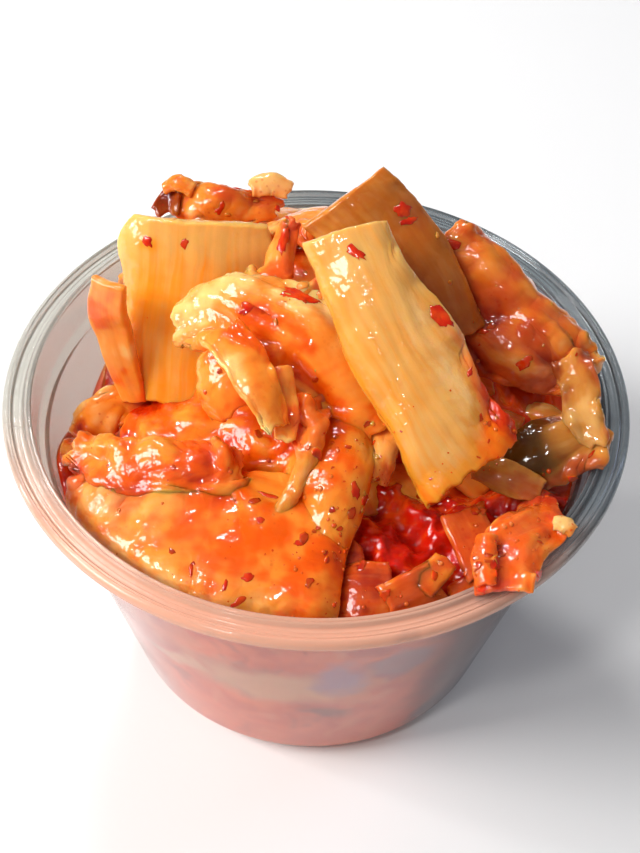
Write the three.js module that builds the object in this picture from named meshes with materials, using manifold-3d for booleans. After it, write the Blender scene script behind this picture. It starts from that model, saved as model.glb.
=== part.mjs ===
// A clear plastic portion cup heaped with cabbage kimchi.
//
// Millimetres, +Z up. The origin is the centre of the cup's flat base, on the surface it stands on.
// -Y is the front, where the cut ends of the leaves hang towards the eye, and the tallest stems lean
// back towards +Y.
//
// The cup is one turned solid. The small cuttings, radish, chilli paste and juice packed inside it
// are one heap, and every large cut of cabbage that lies on top is a solid of its own: a sheet that
// follows a spine, is bent across its width, and is thick at the rib and thin at the edges.
// Pieces that lie on each other keep a thin air gap, cut into whichever piece lies underneath.

import * as THREE from "three";
import { mergeVertices } from "three/addons/utils/BufferGeometryUtils.js";
import Module from "manifold-3d";

const wasm = await Module();
wasm.setup();

// ------------------------------------------------------------------ driving dimensions

const RIM_RADIUS = 38; // outside of the rolled lip
const CUP_HEIGHT = 46;
const MOUTH_RADIUS = 34.5; // inside of the mouth
const BASE_RADIUS = 23; // flat base that the cup stands on
const WALL = 0.7; // moulded wall thickness
const FLOOR = 1.0;
const LIP_DROP = 1.3; // how far the rolled lip turns down
const LID_GROOVE = 0.5; // depth of the groove that a lid snaps into
const CUP_SEGMENTS = 56;

const GAP = 0.3; // air between two pieces that touch
const HEAP_LEVEL = 38.5; // top of the packed heap beside the wall
const MOUND = 18; // how far the heap rises above that level under the tallest stems
const HEAP_SECTORS = 36;

const LEAF_STEPS = 10; // facets along a leaf
const LEAF_STRIPS = 6; // facets across it
const SLIVER = 0.07; // detail smaller than this is dropped after a cut
const CUTTING_STEPS = 3;
const CUTTING_STRIPS = 2;

// The inside of the cup wall as [height, radius], with the small shoulder that carries a lid.
const INNER_WALL = [
  [FLOOR, 23.6],
  [3.2, 25.2],
  [40.4, 33.1],
  [41.4, 34.1],
  [CUP_HEIGHT, MOUTH_RADIUS],
];

const COLOURS = {
  plastic: 0xdfe3e2,
  packed: 0xc8431c,
  pale_stem: 0xe6b45f,
  amber_stem: 0xe29a3c,
  brown_stem: 0xb87433,
  orange_leaf: 0xe8862f,
  red_leaf: 0xd85a2a,
  green_leaf: 0x6f6a2a,
};

// ------------------------------------------------------------------ small helpers

const radians = THREE.MathUtils.degToRad;

/** A smooth curve through [x, y, z] triples; one triple alone is held all along. */
function curveThrough(triples) {
  const points = triples.map((p) => new THREE.Vector3(...p));
  if (points.length === 1) points.push(points[0].clone());
  return new THREE.CatmullRomCurve3(points, false, "catmullrom", 0.5);
}

/** Uneven but repeatable waviness, about -1 to 1. */
const wobble = (x, seed) => 0.65 * Math.sin(x + 2.4 * seed) + 0.35 * Math.sin(1.7 * x + 5.1 * seed);

/** 0 below `from`, 1 above `to`, smooth between them. */
const smooth = (x, from, to) => THREE.MathUtils.smoothstep(x, from, to);

/** Radius of the cup's inside at height z. */
function innerRadius(z) {
  for (let i = 1; i < INNER_WALL.length; i++) {
    const [low, r0] = INNER_WALL[i - 1];
    const [high, r1] = INNER_WALL[i];
    if (z <= high) return r0 + ((r1 - r0) * Math.max(0, z - low)) / (high - low);
  }
  return Infinity;
}

/** Presses a point inwards so that it stays inside the cup; free above the rim. */
function pressInside(p) {
  const limit = innerRadius(p.z) - GAP;
  const soft = 3;
  const r = Math.hypot(p.x, p.y);
  if (r <= limit - soft) return p;
  const pressed = limit - soft + soft * (1 - Math.exp(-(r - limit + soft) / soft));
  p.x *= pressed / r;
  p.y *= pressed / r;
  return p;
}

/** A closed geometry as a solid that can be joined and cut. */
function solidOf(geometry) {
  const bare = new THREE.BufferGeometry();
  bare.setAttribute("position", geometry.getAttribute("position"));
  bare.setIndex(geometry.getIndex());
  const merged = mergeVertices(bare, 1e-4);
  const index = merged.getIndex().array;
  const triangles = [];
  for (let i = 0; i < index.length; i += 3) {
    const [a, b, c] = [index[i], index[i + 1], index[i + 2]];
    if (a !== b && b !== c && c !== a) triangles.push(a, b, c);
  }
  return new wasm.Manifold(
    new wasm.Mesh({
      numProp: 3,
      vertProperties: merged.getAttribute("position").array,
      triVerts: new Uint32Array(triangles),
    }),
  );
}

/** The largest piece of a cut solid, without loose scraps and slivers. */
function mainPiece(solid) {
  const pieces = solid.simplify(SLIVER).decompose();
  pieces.sort((a, b) => b.volume() - a.volume());
  return pieces[0];
}

/** A named mesh from a solid. */
function meshOf(solid, name, colour, roughness = 0.3) {
  const { vertProperties, triVerts } = solid.getMesh();
  const indexed = new THREE.BufferGeometry();
  indexed.setAttribute("position", new THREE.BufferAttribute(vertProperties, 3));
  indexed.setIndex(new THREE.BufferAttribute(triVerts, 1));
  const geometry = indexed.toNonIndexed();
  geometry.computeVertexNormals();
  const material = new THREE.MeshStandardMaterial({ color: colour, roughness, metalness: 0 });
  const mesh = new THREE.Mesh(geometry, material);
  mesh.name = name;
  return mesh;
}

/** A solid turned about Z from [height, radius] stations that run from axis to axis. */
function turned(stations, segments) {
  const profile = stations.map(([z, r]) => new THREE.Vector2(r, z));
  return new THREE.LatheGeometry(profile, segments).rotateX(Math.PI / 2);
}

// ------------------------------------------------------------------ the cup

/** Flat base with a small chamfer, thin tapering wall, rolled lip with a groove for a lid. */
function cupSolid() {
  const outside = INNER_WALL.slice(1, -1).map(([z, r]) => [z - 0.2, r + WALL]);
  const inside = INNER_WALL.slice().reverse();
  const flangeUnderside = CUP_HEIGHT - LIP_DROP + 0.4;
  return solidOf(
    turned(
      [
        [0, 0],
        [0, BASE_RADIUS],
        [0.9, BASE_RADIUS + 1.7],
        ...outside,
        [flangeUnderside, MOUTH_RADIUS + WALL],
        [flangeUnderside, RIM_RADIUS - 0.7],
        [CUP_HEIGHT - LIP_DROP, RIM_RADIUS - 0.6],
        [CUP_HEIGHT - LIP_DROP, RIM_RADIUS],
        [CUP_HEIGHT - 0.3, RIM_RADIUS],
        [CUP_HEIGHT, RIM_RADIUS - 0.4],
        [CUP_HEIGHT, RIM_RADIUS - 1.0],
        [CUP_HEIGHT - LID_GROOVE, RIM_RADIUS - 1.3],
        [CUP_HEIGHT - LID_GROOVE, RIM_RADIUS - 2.3],
        [CUP_HEIGHT, RIM_RADIUS - 2.6],
        ...inside,
        [FLOOR, 0],
      ],
      CUP_SEGMENTS,
    ),
  );
}

/** What the cup keeps clear of food: its wall and rim, a gap wider all round. */
function cupRoom() {
  const far = 2 * RIM_RADIUS;
  const wall = INNER_WALL.map(([z, r]) => [z, r - GAP]);
  wall[wall.length - 1][0] = CUP_HEIGHT + GAP;
  return solidOf(
    turned(
      [[-1, 0], [-1, far], [CUP_HEIGHT + GAP, far], ...wall.reverse(), [FLOOR + GAP, 0]],
      CUP_SEGMENTS,
    ),
  );
}

// ------------------------------------------------------------------ sheets of leaf

/**
 * A cut of leaf. Every length is in mm and every angle in degrees.
 *   spine     points that the middle of the sheet follows
 *   facing    which way its outer face looks, at even steps along the spine
 *   sections  [left width, right width, rib thickness] at even steps along the spine
 *   edge      thickness at both edges
 *   bend      how far each half turns away from the facing side, [start, end]
 *   curl      extra turn of the left and the right edge
 *   ruffle    height of the waves along the edges, and `waves` how many
 *   slant     how far each end runs on at the right edge
 *   torn      how ragged each end is
 */
const LEAF_DEFAULTS = {
  edge: 1,
  bend: [10, 10],
  curl: [0, 0],
  ruffle: 0.5,
  waves: 3,
  slant: [0, 0],
  torn: [0.5, 0.5],
  flakes: [],
  overRim: false,
};

function prepared(leaf) {
  const whole = { ...LEAF_DEFAULTS, ...leaf };
  whole.line = curveThrough(whole.spine);
  whole.look = curveThrough(whole.facing);
  whole.widths = curveThrough(whole.sections);
  whole.length = whole.line.getLength();
  return whole;
}

/** Where the sheet's middle surface is, s from 0 to 1 along it and v from -1 to 1 across it. */
function sheetPoint(leaf, s, v, grow = 0) {
  const { seed, length } = leaf;
  const start = (0.5 + 0.5 * wobble(3.1 * v, seed)) * leaf.torn[0] + leaf.slant[0] * v - grow;
  const end = (0.5 + 0.5 * wobble(3.7 * v, seed + 3)) * leaf.torn[1] - leaf.slant[1] * v - grow;
  const t = (start + s * (length - start - end)) / length;
  const held = THREE.MathUtils.clamp(t, 0, 1);

  const tangent = leaf.line.getTangent(held);
  const normal = leaf.look.getPoint(held);
  normal.addScaledVector(tangent, -normal.dot(tangent)).normalize();
  const side = new THREE.Vector3().crossVectors(normal, tangent);

  const widths = leaf.widths.getPoint(held);
  const uneven = 1 + 0.07 * leaf.torn[1] * wobble(7 * s + 2 * v, seed + 5);
  const half = (v < 0 ? widths.x : widths.y) * uneven + grow;
  const bend = radians(THREE.MathUtils.lerp(leaf.bend[0], leaf.bend[1], held));
  const curl = radians(v < 0 ? leaf.curl[0] : leaf.curl[1]);
  const strides = 12;
  let across = 0;
  let lift = 0;
  for (let k = 0; k < strides; k++) {
    const x = (v * (k + 0.5)) / strides;
    const angle = bend * x + Math.sign(x) * curl * smooth(Math.abs(x), 0.5, 1);
    across += (Math.cos(angle) * v * half) / strides;
    lift -= (Math.sin(angle) * v * half) / strides;
  }
  lift += leaf.ruffle * v * v * wobble(2 * Math.PI * leaf.waves * s + v, seed);

  return leaf.line
    .getPoint(held)
    .addScaledVector(tangent, (t - held) * length)
    .addScaledVector(side, across)
    .addScaledVector(normal, lift);
}

/** The outward normal of the middle surface. */
function sheetNormal(leaf, s, v) {
  const d = 0.02;
  const along = sheetPoint(leaf, s + d, v).sub(sheetPoint(leaf, s - d, v));
  const across = sheetPoint(leaf, s, v + d).sub(sheetPoint(leaf, s, v - d));
  return along.cross(across).normalize();
}

/** Thickness of the leaf: full at the rib, thin at both edges. */
function thickness(leaf, s, v) {
  const rib = leaf.widths.getPoint(THREE.MathUtils.clamp(s, 0, 1)).z;
  return leaf.edge + (rib - leaf.edge) * (1 - Math.abs(v) ** 2.4);
}

/** The sheet as a closed solid, grown by `grow` on every side. */
function leafSolid(leaf, grow = 0, steps = LEAF_STEPS, strips = LEAF_STRIPS) {
  const positions = [];
  const index = [];
  const row = strips + 1;
  const layer = row * (steps + 1);
  for (const face of [1, -1]) {
    for (let i = 0; i <= steps; i++) {
      for (let j = 0; j <= strips; j++) {
        const s = i / steps;
        const v = (2 * j) / strips - 1;
        const normal = sheetNormal(leaf, s, v).multiplyScalar(face);
        const p = sheetPoint(leaf, s, v, grow);
        p.addScaledVector(normal, thickness(leaf, s, v) / 2);
        if (!leaf.overRim) pressInside(p);
        p.addScaledVector(normal, grow);
        positions.push(p.x, p.y, p.z);
      }
    }
  }
  const quad = (a, b, c, d) => index.push(a, b, c, a, c, d);
  for (let i = 0; i < steps; i++) {
    for (let j = 0; j < strips; j++) {
      const a = i * row + j;
      quad(a, a + row, a + row + 1, a + 1);
      index.push(layer + a, layer + a + row + 1, layer + a + row);
      index.push(layer + a, layer + a + 1, layer + a + row + 1);
    }
  }
  for (let i = 0; i < steps; i++) {
    const left = i * row;
    const right = left + strips;
    quad(left, layer + left, layer + left + row, left + row);
    quad(right, right + row, layer + right + row, layer + right);
  }
  for (let j = 0; j < strips; j++) {
    const near = j;
    const far = steps * row + j;
    quad(near, near + 1, layer + near + 1, layer + near);
    quad(far, layer + far, layer + far + 1, far + 1);
  }
  const geometry = new THREE.BufferGeometry();
  geometry.setAttribute("position", new THREE.Float32BufferAttribute(positions, 3));
  geometry.setIndex(index);
  return solidOf(geometry);
}

/** A flake of chilli that lies half sunk in the outer face at [s, v], `size` across. */
function flakeSolid(leaf, [s, v, size], grow = 0) {
  const normal = sheetNormal(leaf, s, v);
  const flake = new THREE.CylinderGeometry(size / 2 + grow, size / 2.4 + grow, 0.9 + 2 * grow, 6);
  flake.scale(1, 1, 0.7).rotateX(Math.PI / 2).rotateZ(5 * s + 3 * v);
  const turn = new THREE.Quaternion().setFromUnitVectors(new THREE.Vector3(0, 0, 1), normal);
  const place = sheetPoint(leaf, s, v).addScaledVector(normal, thickness(leaf, s, v) / 2 + 0.05);
  flake.applyQuaternion(turn).translate(place.x, place.y, place.z);
  return solidOf(flake);
}

/** A leaf with its flakes fused on. */
const wholeLeaf = (leaf, grow = 0) =>
  leaf.flakes.reduce((solid, f) => solid.add(flakeSolid(leaf, f, grow)), leafSolid(leaf, grow));

/** The room a leaf keeps free of whatever lies under it, also where it is folded tightly. */
const roomAround = (leaf) => wholeLeaf(leaf, GAP + 0.05).add(wholeLeaf(leaf, GAP / 2));

// The large cuts, the uppermost first. Each one is cut by those before it.
const LEAVES = [
  {
    name: "stem_front",
    colour: COLOURS.pale_stem,
    spine: [[2.3, 4, 66.6], [6, -2, 62.5], [10, -8, 57.5], [14.2, -12.9, 53.3], [18.8, -17.2, 49.5]],
    facing: [[-0.1, -0.6, 0.8], [-0.05, -0.65, 0.75], [0.1, -0.65, 0.75]],
    sections: [[5, 5, 3], [5.4, 5.8, 3.4], [6, 6.4, 3.4], [6.6, 6.4, 3], [6.6, 7.6, 2]],
    edge: 1,
    bend: [22, 10],
    curl: [35, -12],
    ruffle: 0.6,
    waves: 4,
    slant: [1.1, -0.5],
    torn: [0.2, 2],
    seed: 1,
    flakes: [[0.11, 0.06, 2], [0.39, 0.9, 2.4]],
  },
  {
    name: "stem_back",
    colour: COLOURS.brown_stem,
    spine: [[2.3, 11.7, 65.3], [7.2, 8.8, 61.5], [12, 5, 57], [16, 1, 51]],
    facing: [[0.05, -0.77, 0.63], [0.15, -0.7, 0.65]],
    sections: [[5.6, 5.6, 2.6], [5.5, 6, 3], [6, 6, 3], [6, 5.5, 2.6]],
    bend: [12, 20],
    curl: [0, 20],
    ruffle: 0.3,
    slant: [1, 0],
    torn: [0.2, 1],
    seed: 2,
    flakes: [[0.27, 0.62, 2.2]],
  },
  {
    name: "leaf_centre",
    colour: COLOURS.orange_leaf,
    spine: [[-17, 2, 52.5], [-11, 1, 56.5], [-3, -2, 56.5], [4, -7, 52.5], [8, -11, 49]],
    facing: [[-0.3, -0.4, 0.85], [-0.1, -0.5, 0.85], [0.1, -0.5, 0.85]],
    sections: [[2.5, 3, 2.4], [7.4, 5, 2.2], [10, 7, 2], [9.5, 7, 1.8], [4, 5, 1.4]],
    bend: [25, 55],
    curl: [35, 0],
    ruffle: 1.3,
    waves: 3.5,
    torn: [0.6, 1.5],
    seed: 3,
    flakes: [[0.33, 0.1, 2], [0.46, 0.68, 2.8]],
  },
  {
    name: "stem_left",
    colour: COLOURS.amber_stem,
    spine: [[-15, 12.5, 60.6], [-15.5, 9, 55], [-16.5, 4.5, 48], [-17, 0, 41]],
    facing: [[0, -0.8, 0.55], [0, -0.85, 0.5]],
    sections: [[9.4, 8.5, 3.4], [8.8, 8, 3.6], [7.2, 6.5, 3.4], [6, 5.5, 3]],
    edge: 2,
    bend: [12, 18],
    curl: [30, 0],
    ruffle: 0.2,
    slant: [-0.3, 0],
    torn: [0.3, 0.5],
    seed: 4,
  },
  {
    name: "shred_top",
    colour: COLOURS.orange_leaf,
    spine: [[-3, 10, 63], [-5.5, 6, 61], [-9, 3, 58.5]],
    facing: [[-0.2, -0.6, 0.8]],
    sections: [[1.2, 1.2, 1.3], [2.6, 2.6, 1.3], [2, 2, 1.2]],
    bend: [40, 40],
    ruffle: 0.8,
    torn: [1, 1],
    seed: 5,
    flakes: [[0.21, -0.14, 1.4]],
  },
  {
    name: "stalk_centre",
    colour: COLOURS.pale_stem,
    spine: [[0.8, -7, 52], [-0.4, -10.8, 50.6], [-2, -15.2, 49.4], [-4.6, -19, 48.2]],
    facing: [[0, -0.4, 0.9]],
    sections: [[3, 3, 1.6], [2.2, 2.2, 1.6], [0.8, 0.8, 1.5], [1.2, 1.2, 1.2]],
    edge: 0.9,
    bend: [40, 20],
    ruffle: 0.2,
    seed: 6,
  },
  {
    name: "leaf_under_stem",
    colour: COLOURS.orange_leaf,
    spine: [[-1, 4, 60.5], [3, -3, 56], [6, -10, 51.5], [5, -17, 47.5]],
    facing: [[0, -0.6, 0.8], [0.2, -0.5, 0.85]],
    sections: [[5, 6, 1.6], [6, 7, 1.6], [6, 6, 1.4], [5, 4, 1.2]],
    bend: [25, 45],
    curl: [0, 30],
    ruffle: 0.8,
    torn: [0.5, 1.2],
    seed: 7,
  },
  {
    name: "leaf_front_left",
    colour: COLOURS.orange_leaf,
    spine: [[-29, -13.5, 42.6], [-20, -18.5, 44.8], [-9, -20.5, 46], [4.2, -22.5, 45.4]],
    facing: [[-0.3, -0.2, 0.9], [0, -0.15, 1], [0.1, -0.15, 1]],
    sections: [[8, 8, 1.2], [12, 9.5, 1.5], [13, 9.5, 1.6], [11.5, 6, 1.3]],
    bend: [10, 18],
    curl: [25, -75],
    ruffle: 0.6,
    waves: 2.5,
    torn: [1, 0.4],
    slant: [0, -0.6],
    seed: 8,
    flakes: [[0.74, -0.62, 1.6], [0.61, -0.5, 1.4], [0.68, -0.78, 1.4], [0.89, 0.38, 1.4]],
  },
  {
    name: "leaf_left",
    colour: COLOURS.orange_leaf,
    spine: [[-25, 4, 58], [-25.5, 3, 53], [-24.5, 1.5, 47], [-23, 0, 41.5]],
    facing: [[-0.4, -0.75, 0.5]],
    sections: [[2.2, 2.8, 1.6], [2.6, 3, 1.8], [2.2, 2.6, 1.6], [1.6, 2, 1.4]],
    bend: [30, 30],
    ruffle: 0.5,
    torn: [1, 0.5],
    seed: 9,
  },
  {
    name: "leaf_under_left",
    colour: COLOURS.orange_leaf,
    spine: [[-24, -3, 40.5], [-15, -5, 43.5], [-5, -8, 45.5], [3, -12, 47]],
    facing: [[-0.2, -0.35, 0.9], [0, -0.35, 0.9]],
    sections: [[5, 5, 1.2], [6, 7, 1.4], [6, 7, 1.4], [4, 6, 1.2]],
    bend: [35, 35],
    ruffle: 1.1,
    waves: 3,
    torn: [1, 1],
    seed: 10,
  },
  {
    name: "leaf_curl_left",
    colour: COLOURS.red_leaf,
    spine: [[-30, -4, 38.5], [-27, -1, 41], [-21, 1, 42.5]],
    facing: [[-0.2, -0.5, 0.85]],
    sections: [[3, 2.5, 1.2], [3.5, 3, 1.4], [3, 3, 1.4]],
    bend: [60, 60],
    ruffle: 0.6,
    seed: 11,
    flakes: [[0.19, -0.04, 2.6]],
  },
  {
    name: "leaf_rim_right",
    colour: COLOURS.green_leaf,
    spine: [[22, -12, 44.6], [26.5, -10.8, 46.9], [30.5, -10.8, 48.4], [34.2, -11.8, 48]],
    facing: [[-0.1, -0.5, 0.85]],
    sections: [[4, 3, 1.2], [4.5, 4.5, 1.6], [3.8, 5, 2.2], [1.6, 2.4, 2]],
    bend: [30, 30],
    ruffle: 0.5,
    overRim: true,
    seed: 12,
  },
  {
    name: "leaf_right",
    colour: COLOURS.red_leaf,
    spine: [[13.5, 11, 59.5], [18.5, 8, 57], [24.5, 3.6, 53.5], [29.5, 0.2, 51.7], [33, -1.8, 51]],
    facing: [[0, -0.75, 0.65], [0.2, -0.6, 0.75]],
    sections: [[5, 4, 1.4], [7.5, 5, 1.6], [7.5, 5, 2], [5, 4.5, 2.4], [3, 2.6, 2.4]],
    bend: [20, 40],
    curl: [0, 30],
    ruffle: 1,
    waves: 4,
    torn: [0.5, 1],
    overRim: true,
    seed: 13,
    flakes: [[0.1, 0.3, 2], [0.38, -0.54, 1.6], [0.86, 0.44, 2.4]],
  },
  {
    name: "leaf_fold_front_right",
    colour: COLOURS.orange_leaf,
    spine: [
      [20.4, -31.5, 47.5],
      [20.6, -28.2, 48],
      [22.3, -24.9, 47.8],
      [25.4, -21.6, 47],
      [27.8, -19.2, 46.3],
    ],
    facing: [[-0.2, -0.4, 0.9]],
    sections: [[2.6, 2.4, 1.2], [3, 3, 1.4], [3, 3, 1.4], [2.6, 2.6, 1.2]],
    bend: [50, 50],
    ruffle: 1,
    waves: 2,
    overRim: true,
    seed: 14,
    flakes: [[0.08, 0.6, 1.6], [0.74, -0.58, 1.8]],
  },
  {
    name: "tuft_back_left",
    colour: COLOURS.red_leaf,
    spine: [[-20.5, 22, 55.6], [-15, 21.5, 56.2], [-9, 21.5, 56.4], [-4, 22, 56.2]],
    facing: [[0, -0.6, 0.8]],
    sections: [[3, 5.6, 1.4], [4.2, 3.4, 1.6], [4.2, 3.2, 1.6], [3, 3.8, 1.4]],
    bend: [80, 80],
    ruffle: 0.8,
    torn: [1, 1.5],
    seed: 15,
  },
  {
    name: "leaf_back_left",
    colour: COLOURS.orange_leaf,
    spine: [[-26, 16, 46], [-16, 24, 50], [-4, 28, 49], [6, 28, 46]],
    facing: [[-0.3, 0.4, 0.85], [0, 0.5, 0.85]],
    sections: [[6, 5, 1.4], [7, 6, 1.6], [7, 6, 1.6], [5, 5, 1.4]],
    bend: [35, 35],
    ruffle: 1.2,
    torn: [1, 1],
    seed: 16,
  },
  {
    name: "leaf_back_centre",
    colour: COLOURS.orange_leaf,
    spine: [[-6, 13, 57], [-3, 18, 56.5], [1, 23, 53], [4, 28, 47]],
    facing: [[-0.2, 0.6, 0.8]],
    sections: [[4, 4, 1.6], [6, 6, 1.6], [7, 6, 1.6], [5, 5, 1.2]],
    bend: [40, 30],
    ruffle: 1,
    torn: [1, 1.5],
    seed: 18,
  },
  {
    name: "stem_back_right",
    colour: COLOURS.pale_stem,
    spine: [[4, 19, 57], [10, 18, 54], [17, 17, 49], [23, 14, 43]],
    facing: [[0.2, 0.6, 0.75]],
    sections: [[6, 5, 3], [7, 6, 3], [6.5, 6, 2.4], [5, 5, 1.6]],
    bend: [25, 25],
    ruffle: 0.6,
    torn: [0.4, 1.2],
    seed: 17,
  },
];

// ------------------------------------------------------------------ the packed heap

/** Height of the heap's bare top at [x, y]: a mound with knuckles of packed leaf. */
function heapHeight(x, y) {
  const rise = Math.exp(-((x - 4) ** 2 / 260 + (y - 10) ** 2 / 190));
  const knuckles = wobble(0.42 * x + 0.1 * y, 2) + wobble(0.38 * y - 0.15 * x, 7);
  return HEAP_LEVEL + MOUND * rise + 0.8 * knuckles;
}

/** The mass of small cuttings, paste and juice, out to the wall it is pressed against. */
function heapCore() {
  const rings = [];
  const topRings = 6;
  for (let k = 1; k <= topRings; k++) {
    const share = k / topRings;
    rings.push((a) => {
      const reach = share * (innerRadius(HEAP_LEVEL) - GAP);
      const [x, y] = [reach * Math.cos(a), reach * Math.sin(a)];
      const z = k === topRings ? Math.min(heapHeight(x, y), 40) : heapHeight(x, y);
      return [x, y, z];
    });
  }
  for (const z of [30, 15, 3.2]) {
    rings.push((a) => {
      const reach = innerRadius(z) - GAP;
      return [reach * Math.cos(a), reach * Math.sin(a), z];
    });
  }
  const floor = FLOOR + GAP;
  const foot = innerRadius(floor) - GAP;
  rings.push((a) => [foot * Math.cos(a), foot * Math.sin(a), floor]);

  const positions = [0, 0, heapHeight(0, 0), 0, 0, floor];
  const index = [];
  const at = (ring, sector) => 2 + ring * HEAP_SECTORS + (sector % HEAP_SECTORS);
  rings.forEach((point) => {
    for (let j = 0; j < HEAP_SECTORS; j++) {
      positions.push(...point((2 * Math.PI * j) / HEAP_SECTORS));
    }
  });
  for (let j = 0; j < HEAP_SECTORS; j++) {
    index.push(0, at(0, j), at(0, j + 1));
    for (let ring = 0; ring + 1 < rings.length; ring++) {
      index.push(at(ring, j), at(ring + 1, j), at(ring + 1, j + 1));
      index.push(at(ring, j), at(ring + 1, j + 1), at(ring, j + 1));
    }
    index.push(1, at(rings.length - 1, j + 1), at(rings.length - 1, j));
  }
  const geometry = new THREE.BufferGeometry();
  geometry.setAttribute("position", new THREE.Float32BufferAttribute(positions, 3));
  geometry.setIndex(index);
  return solidOf(geometry);
}

/**
 * A small cutting of stem or leaf that lies on the heap, as
 * [x, y, height above the heap, heading, tilt, length, width, thickness].
 */
function cutting([x, y, lift, heading, tilt, length, width, thick], seed) {
  const turn = radians(heading);
  const rise = Math.sin(radians(tilt));
  const middle = new THREE.Vector3(x, y, heapHeight(x, y) + lift);
  const reach = new THREE.Vector3(Math.cos(turn), Math.sin(turn), rise).multiplyScalar(length / 2);
  const arch = new THREE.Vector3(0, 0, 0.12 * length);
  const from = middle.clone().sub(reach);
  const to = middle.clone().add(reach);
  const leaf = prepared({
    spine: [from.toArray(), middle.clone().add(arch).toArray(), to.toArray()],
    facing: [[0, 0, 1]],
    sections: [[width / 2, width / 2, thick]],
    edge: 0.6 * thick,
    bend: [35, 25],
    ruffle: 0.4,
    waves: 2,
    seed,
  });
  return leafSolid(leaf, 0, CUTTING_STEPS, CUTTING_STRIPS);
}

// Cuttings in the open pocket at the front right, seen past the hanging leaves.
const POCKET_CUTTINGS = [
  [19, -18, 0.6, -35, -8, 14, 6, 2],
  [15, -24.5, 1.2, 75, 20, 9, 6, 2.2],
  [6.5, -26, 0.8, 10, 5, 9, 7, 2.4],
  [7, -18, 1, 80, 8, 8, 6, 2.4],
  [22, -22, 0.5, 30, 5, 8, 4, 1.6],
  [12, -20, 0.8, 20, -4, 5, 4, 2.2],
];

/** Cuttings spread evenly over the heap, away from the pocket and from the bare gap at the left. */
function scatteredCuttings() {
  const golden = Math.PI * (3 - Math.sqrt(5));
  const count = 14;
  const cuttings = [];
  for (let i = 0; i < count; i++) {
    const reach = 29 * Math.sqrt((i + 0.5) / count);
    const turn = i * golden;
    const x = reach * Math.cos(turn);
    const y = reach * Math.sin(turn);
    const inPocket = x > 0 && y < -12;
    const inGap = x < -18 && y > -4 && y < 18;
    if (inPocket || inGap) continue;
    const size = 1 + 0.25 * wobble(3 * i, 4);
    cuttings.push([x, y, 0.3, 137 * i, 12 * wobble(2 * i, 9), 9 * size, 6 * size, 2]);
  }
  return cuttings;
}

function heapSolid(cutters) {
  const cuttings = [...POCKET_CUTTINGS, ...scatteredCuttings()].map((c, i) => cutting(c, 20 + i));
  const heap = wasm.Manifold.union([heapCore(), ...cuttings]);
  return mainPiece(wasm.Manifold.difference([heap, ...cutters]));
}

// ------------------------------------------------------------------ assembly

const kimchi = new THREE.Group();
kimchi.name = "kimchi";
kimchi.add(meshOf(cupSolid(), "cup", COLOURS.plastic, 0.25));

const cutters = [cupRoom()];
for (const record of LEAVES) {
  const leaf = prepared(record);
  const solid = mainPiece(wasm.Manifold.difference([wholeLeaf(leaf), ...cutters]));
  kimchi.add(meshOf(solid, leaf.name, leaf.colour));
  cutters.push(roomAround(leaf));
}
kimchi.add(meshOf(heapSolid(cutters), "packed_heap", COLOURS.packed));

export default kimchi;
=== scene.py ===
# %% [markdown]
# # Kimchi in a portion cup
#
# The object is a small clear plastic cup, heaped with cabbage kimchi: thick pale ribs, thin wrinkled
# leaves stained orange by chilli, and a wet mass of small cuttings packed below them. The solids of the
# part are already at their real size, so this script only makes the fine surfaces and the finishes.
#
# It could be sculpted by hand, but a cut leaf follows a simple rule: a sheet along a spine, bent across
# its width, thick at the rib and thin at the edge. So one function makes every leaf from a few sizes,
# and the same numbers can be changed and run again.

# %% Load the part
import itertools
import math
from types import SimpleNamespace

import bpy
import numpy as np
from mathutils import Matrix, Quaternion, Vector
from mathutils.bvhtree import BVHTree


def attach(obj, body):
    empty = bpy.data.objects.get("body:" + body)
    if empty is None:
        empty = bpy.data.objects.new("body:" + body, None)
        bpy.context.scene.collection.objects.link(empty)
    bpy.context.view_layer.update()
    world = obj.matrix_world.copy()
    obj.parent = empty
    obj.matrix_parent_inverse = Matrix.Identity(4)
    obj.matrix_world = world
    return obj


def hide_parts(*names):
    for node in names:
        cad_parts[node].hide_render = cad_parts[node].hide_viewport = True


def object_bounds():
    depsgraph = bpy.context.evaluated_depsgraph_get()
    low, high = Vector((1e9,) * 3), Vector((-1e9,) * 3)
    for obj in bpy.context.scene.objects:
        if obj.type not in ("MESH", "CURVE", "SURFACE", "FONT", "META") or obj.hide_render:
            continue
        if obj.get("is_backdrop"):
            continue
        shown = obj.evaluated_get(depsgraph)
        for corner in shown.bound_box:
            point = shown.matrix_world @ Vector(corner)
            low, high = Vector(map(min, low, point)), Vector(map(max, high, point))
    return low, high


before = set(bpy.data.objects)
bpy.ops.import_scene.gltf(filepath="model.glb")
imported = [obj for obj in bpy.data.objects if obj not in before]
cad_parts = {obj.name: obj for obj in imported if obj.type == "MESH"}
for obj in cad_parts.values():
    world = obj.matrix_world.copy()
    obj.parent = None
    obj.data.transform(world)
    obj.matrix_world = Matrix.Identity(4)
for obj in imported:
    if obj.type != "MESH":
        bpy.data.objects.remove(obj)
cad_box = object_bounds()
print("solids:", ", ".join(sorted(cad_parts)))

# %% [markdown]
# ## Units, colours and nodes
#
# Food is measured in millimetres here and the scene is in metres, so MM turns one into the other.
# Colours are picked as hex values, as in any paint program. Those are sRGB, but a shader mixes light in
# linear values, so one function converts them. Node trees are long to write out one line at a time, so
# one function adds a node with its settings, its values and its links together.

# %% Small helpers
MM = 0.001


def linear(hex_colour, alpha=1.0):
    """A #RRGGBB colour as the linear RGBA that a shader needs."""
    channels = [int(hex_colour[i : i + 2], 16) / 255 for i in (1, 3, 5)]
    return [c / 12.92 if c <= 0.04045 else ((c + 0.055) / 1.055) ** 2.4 for c in channels] + [alpha]


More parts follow.
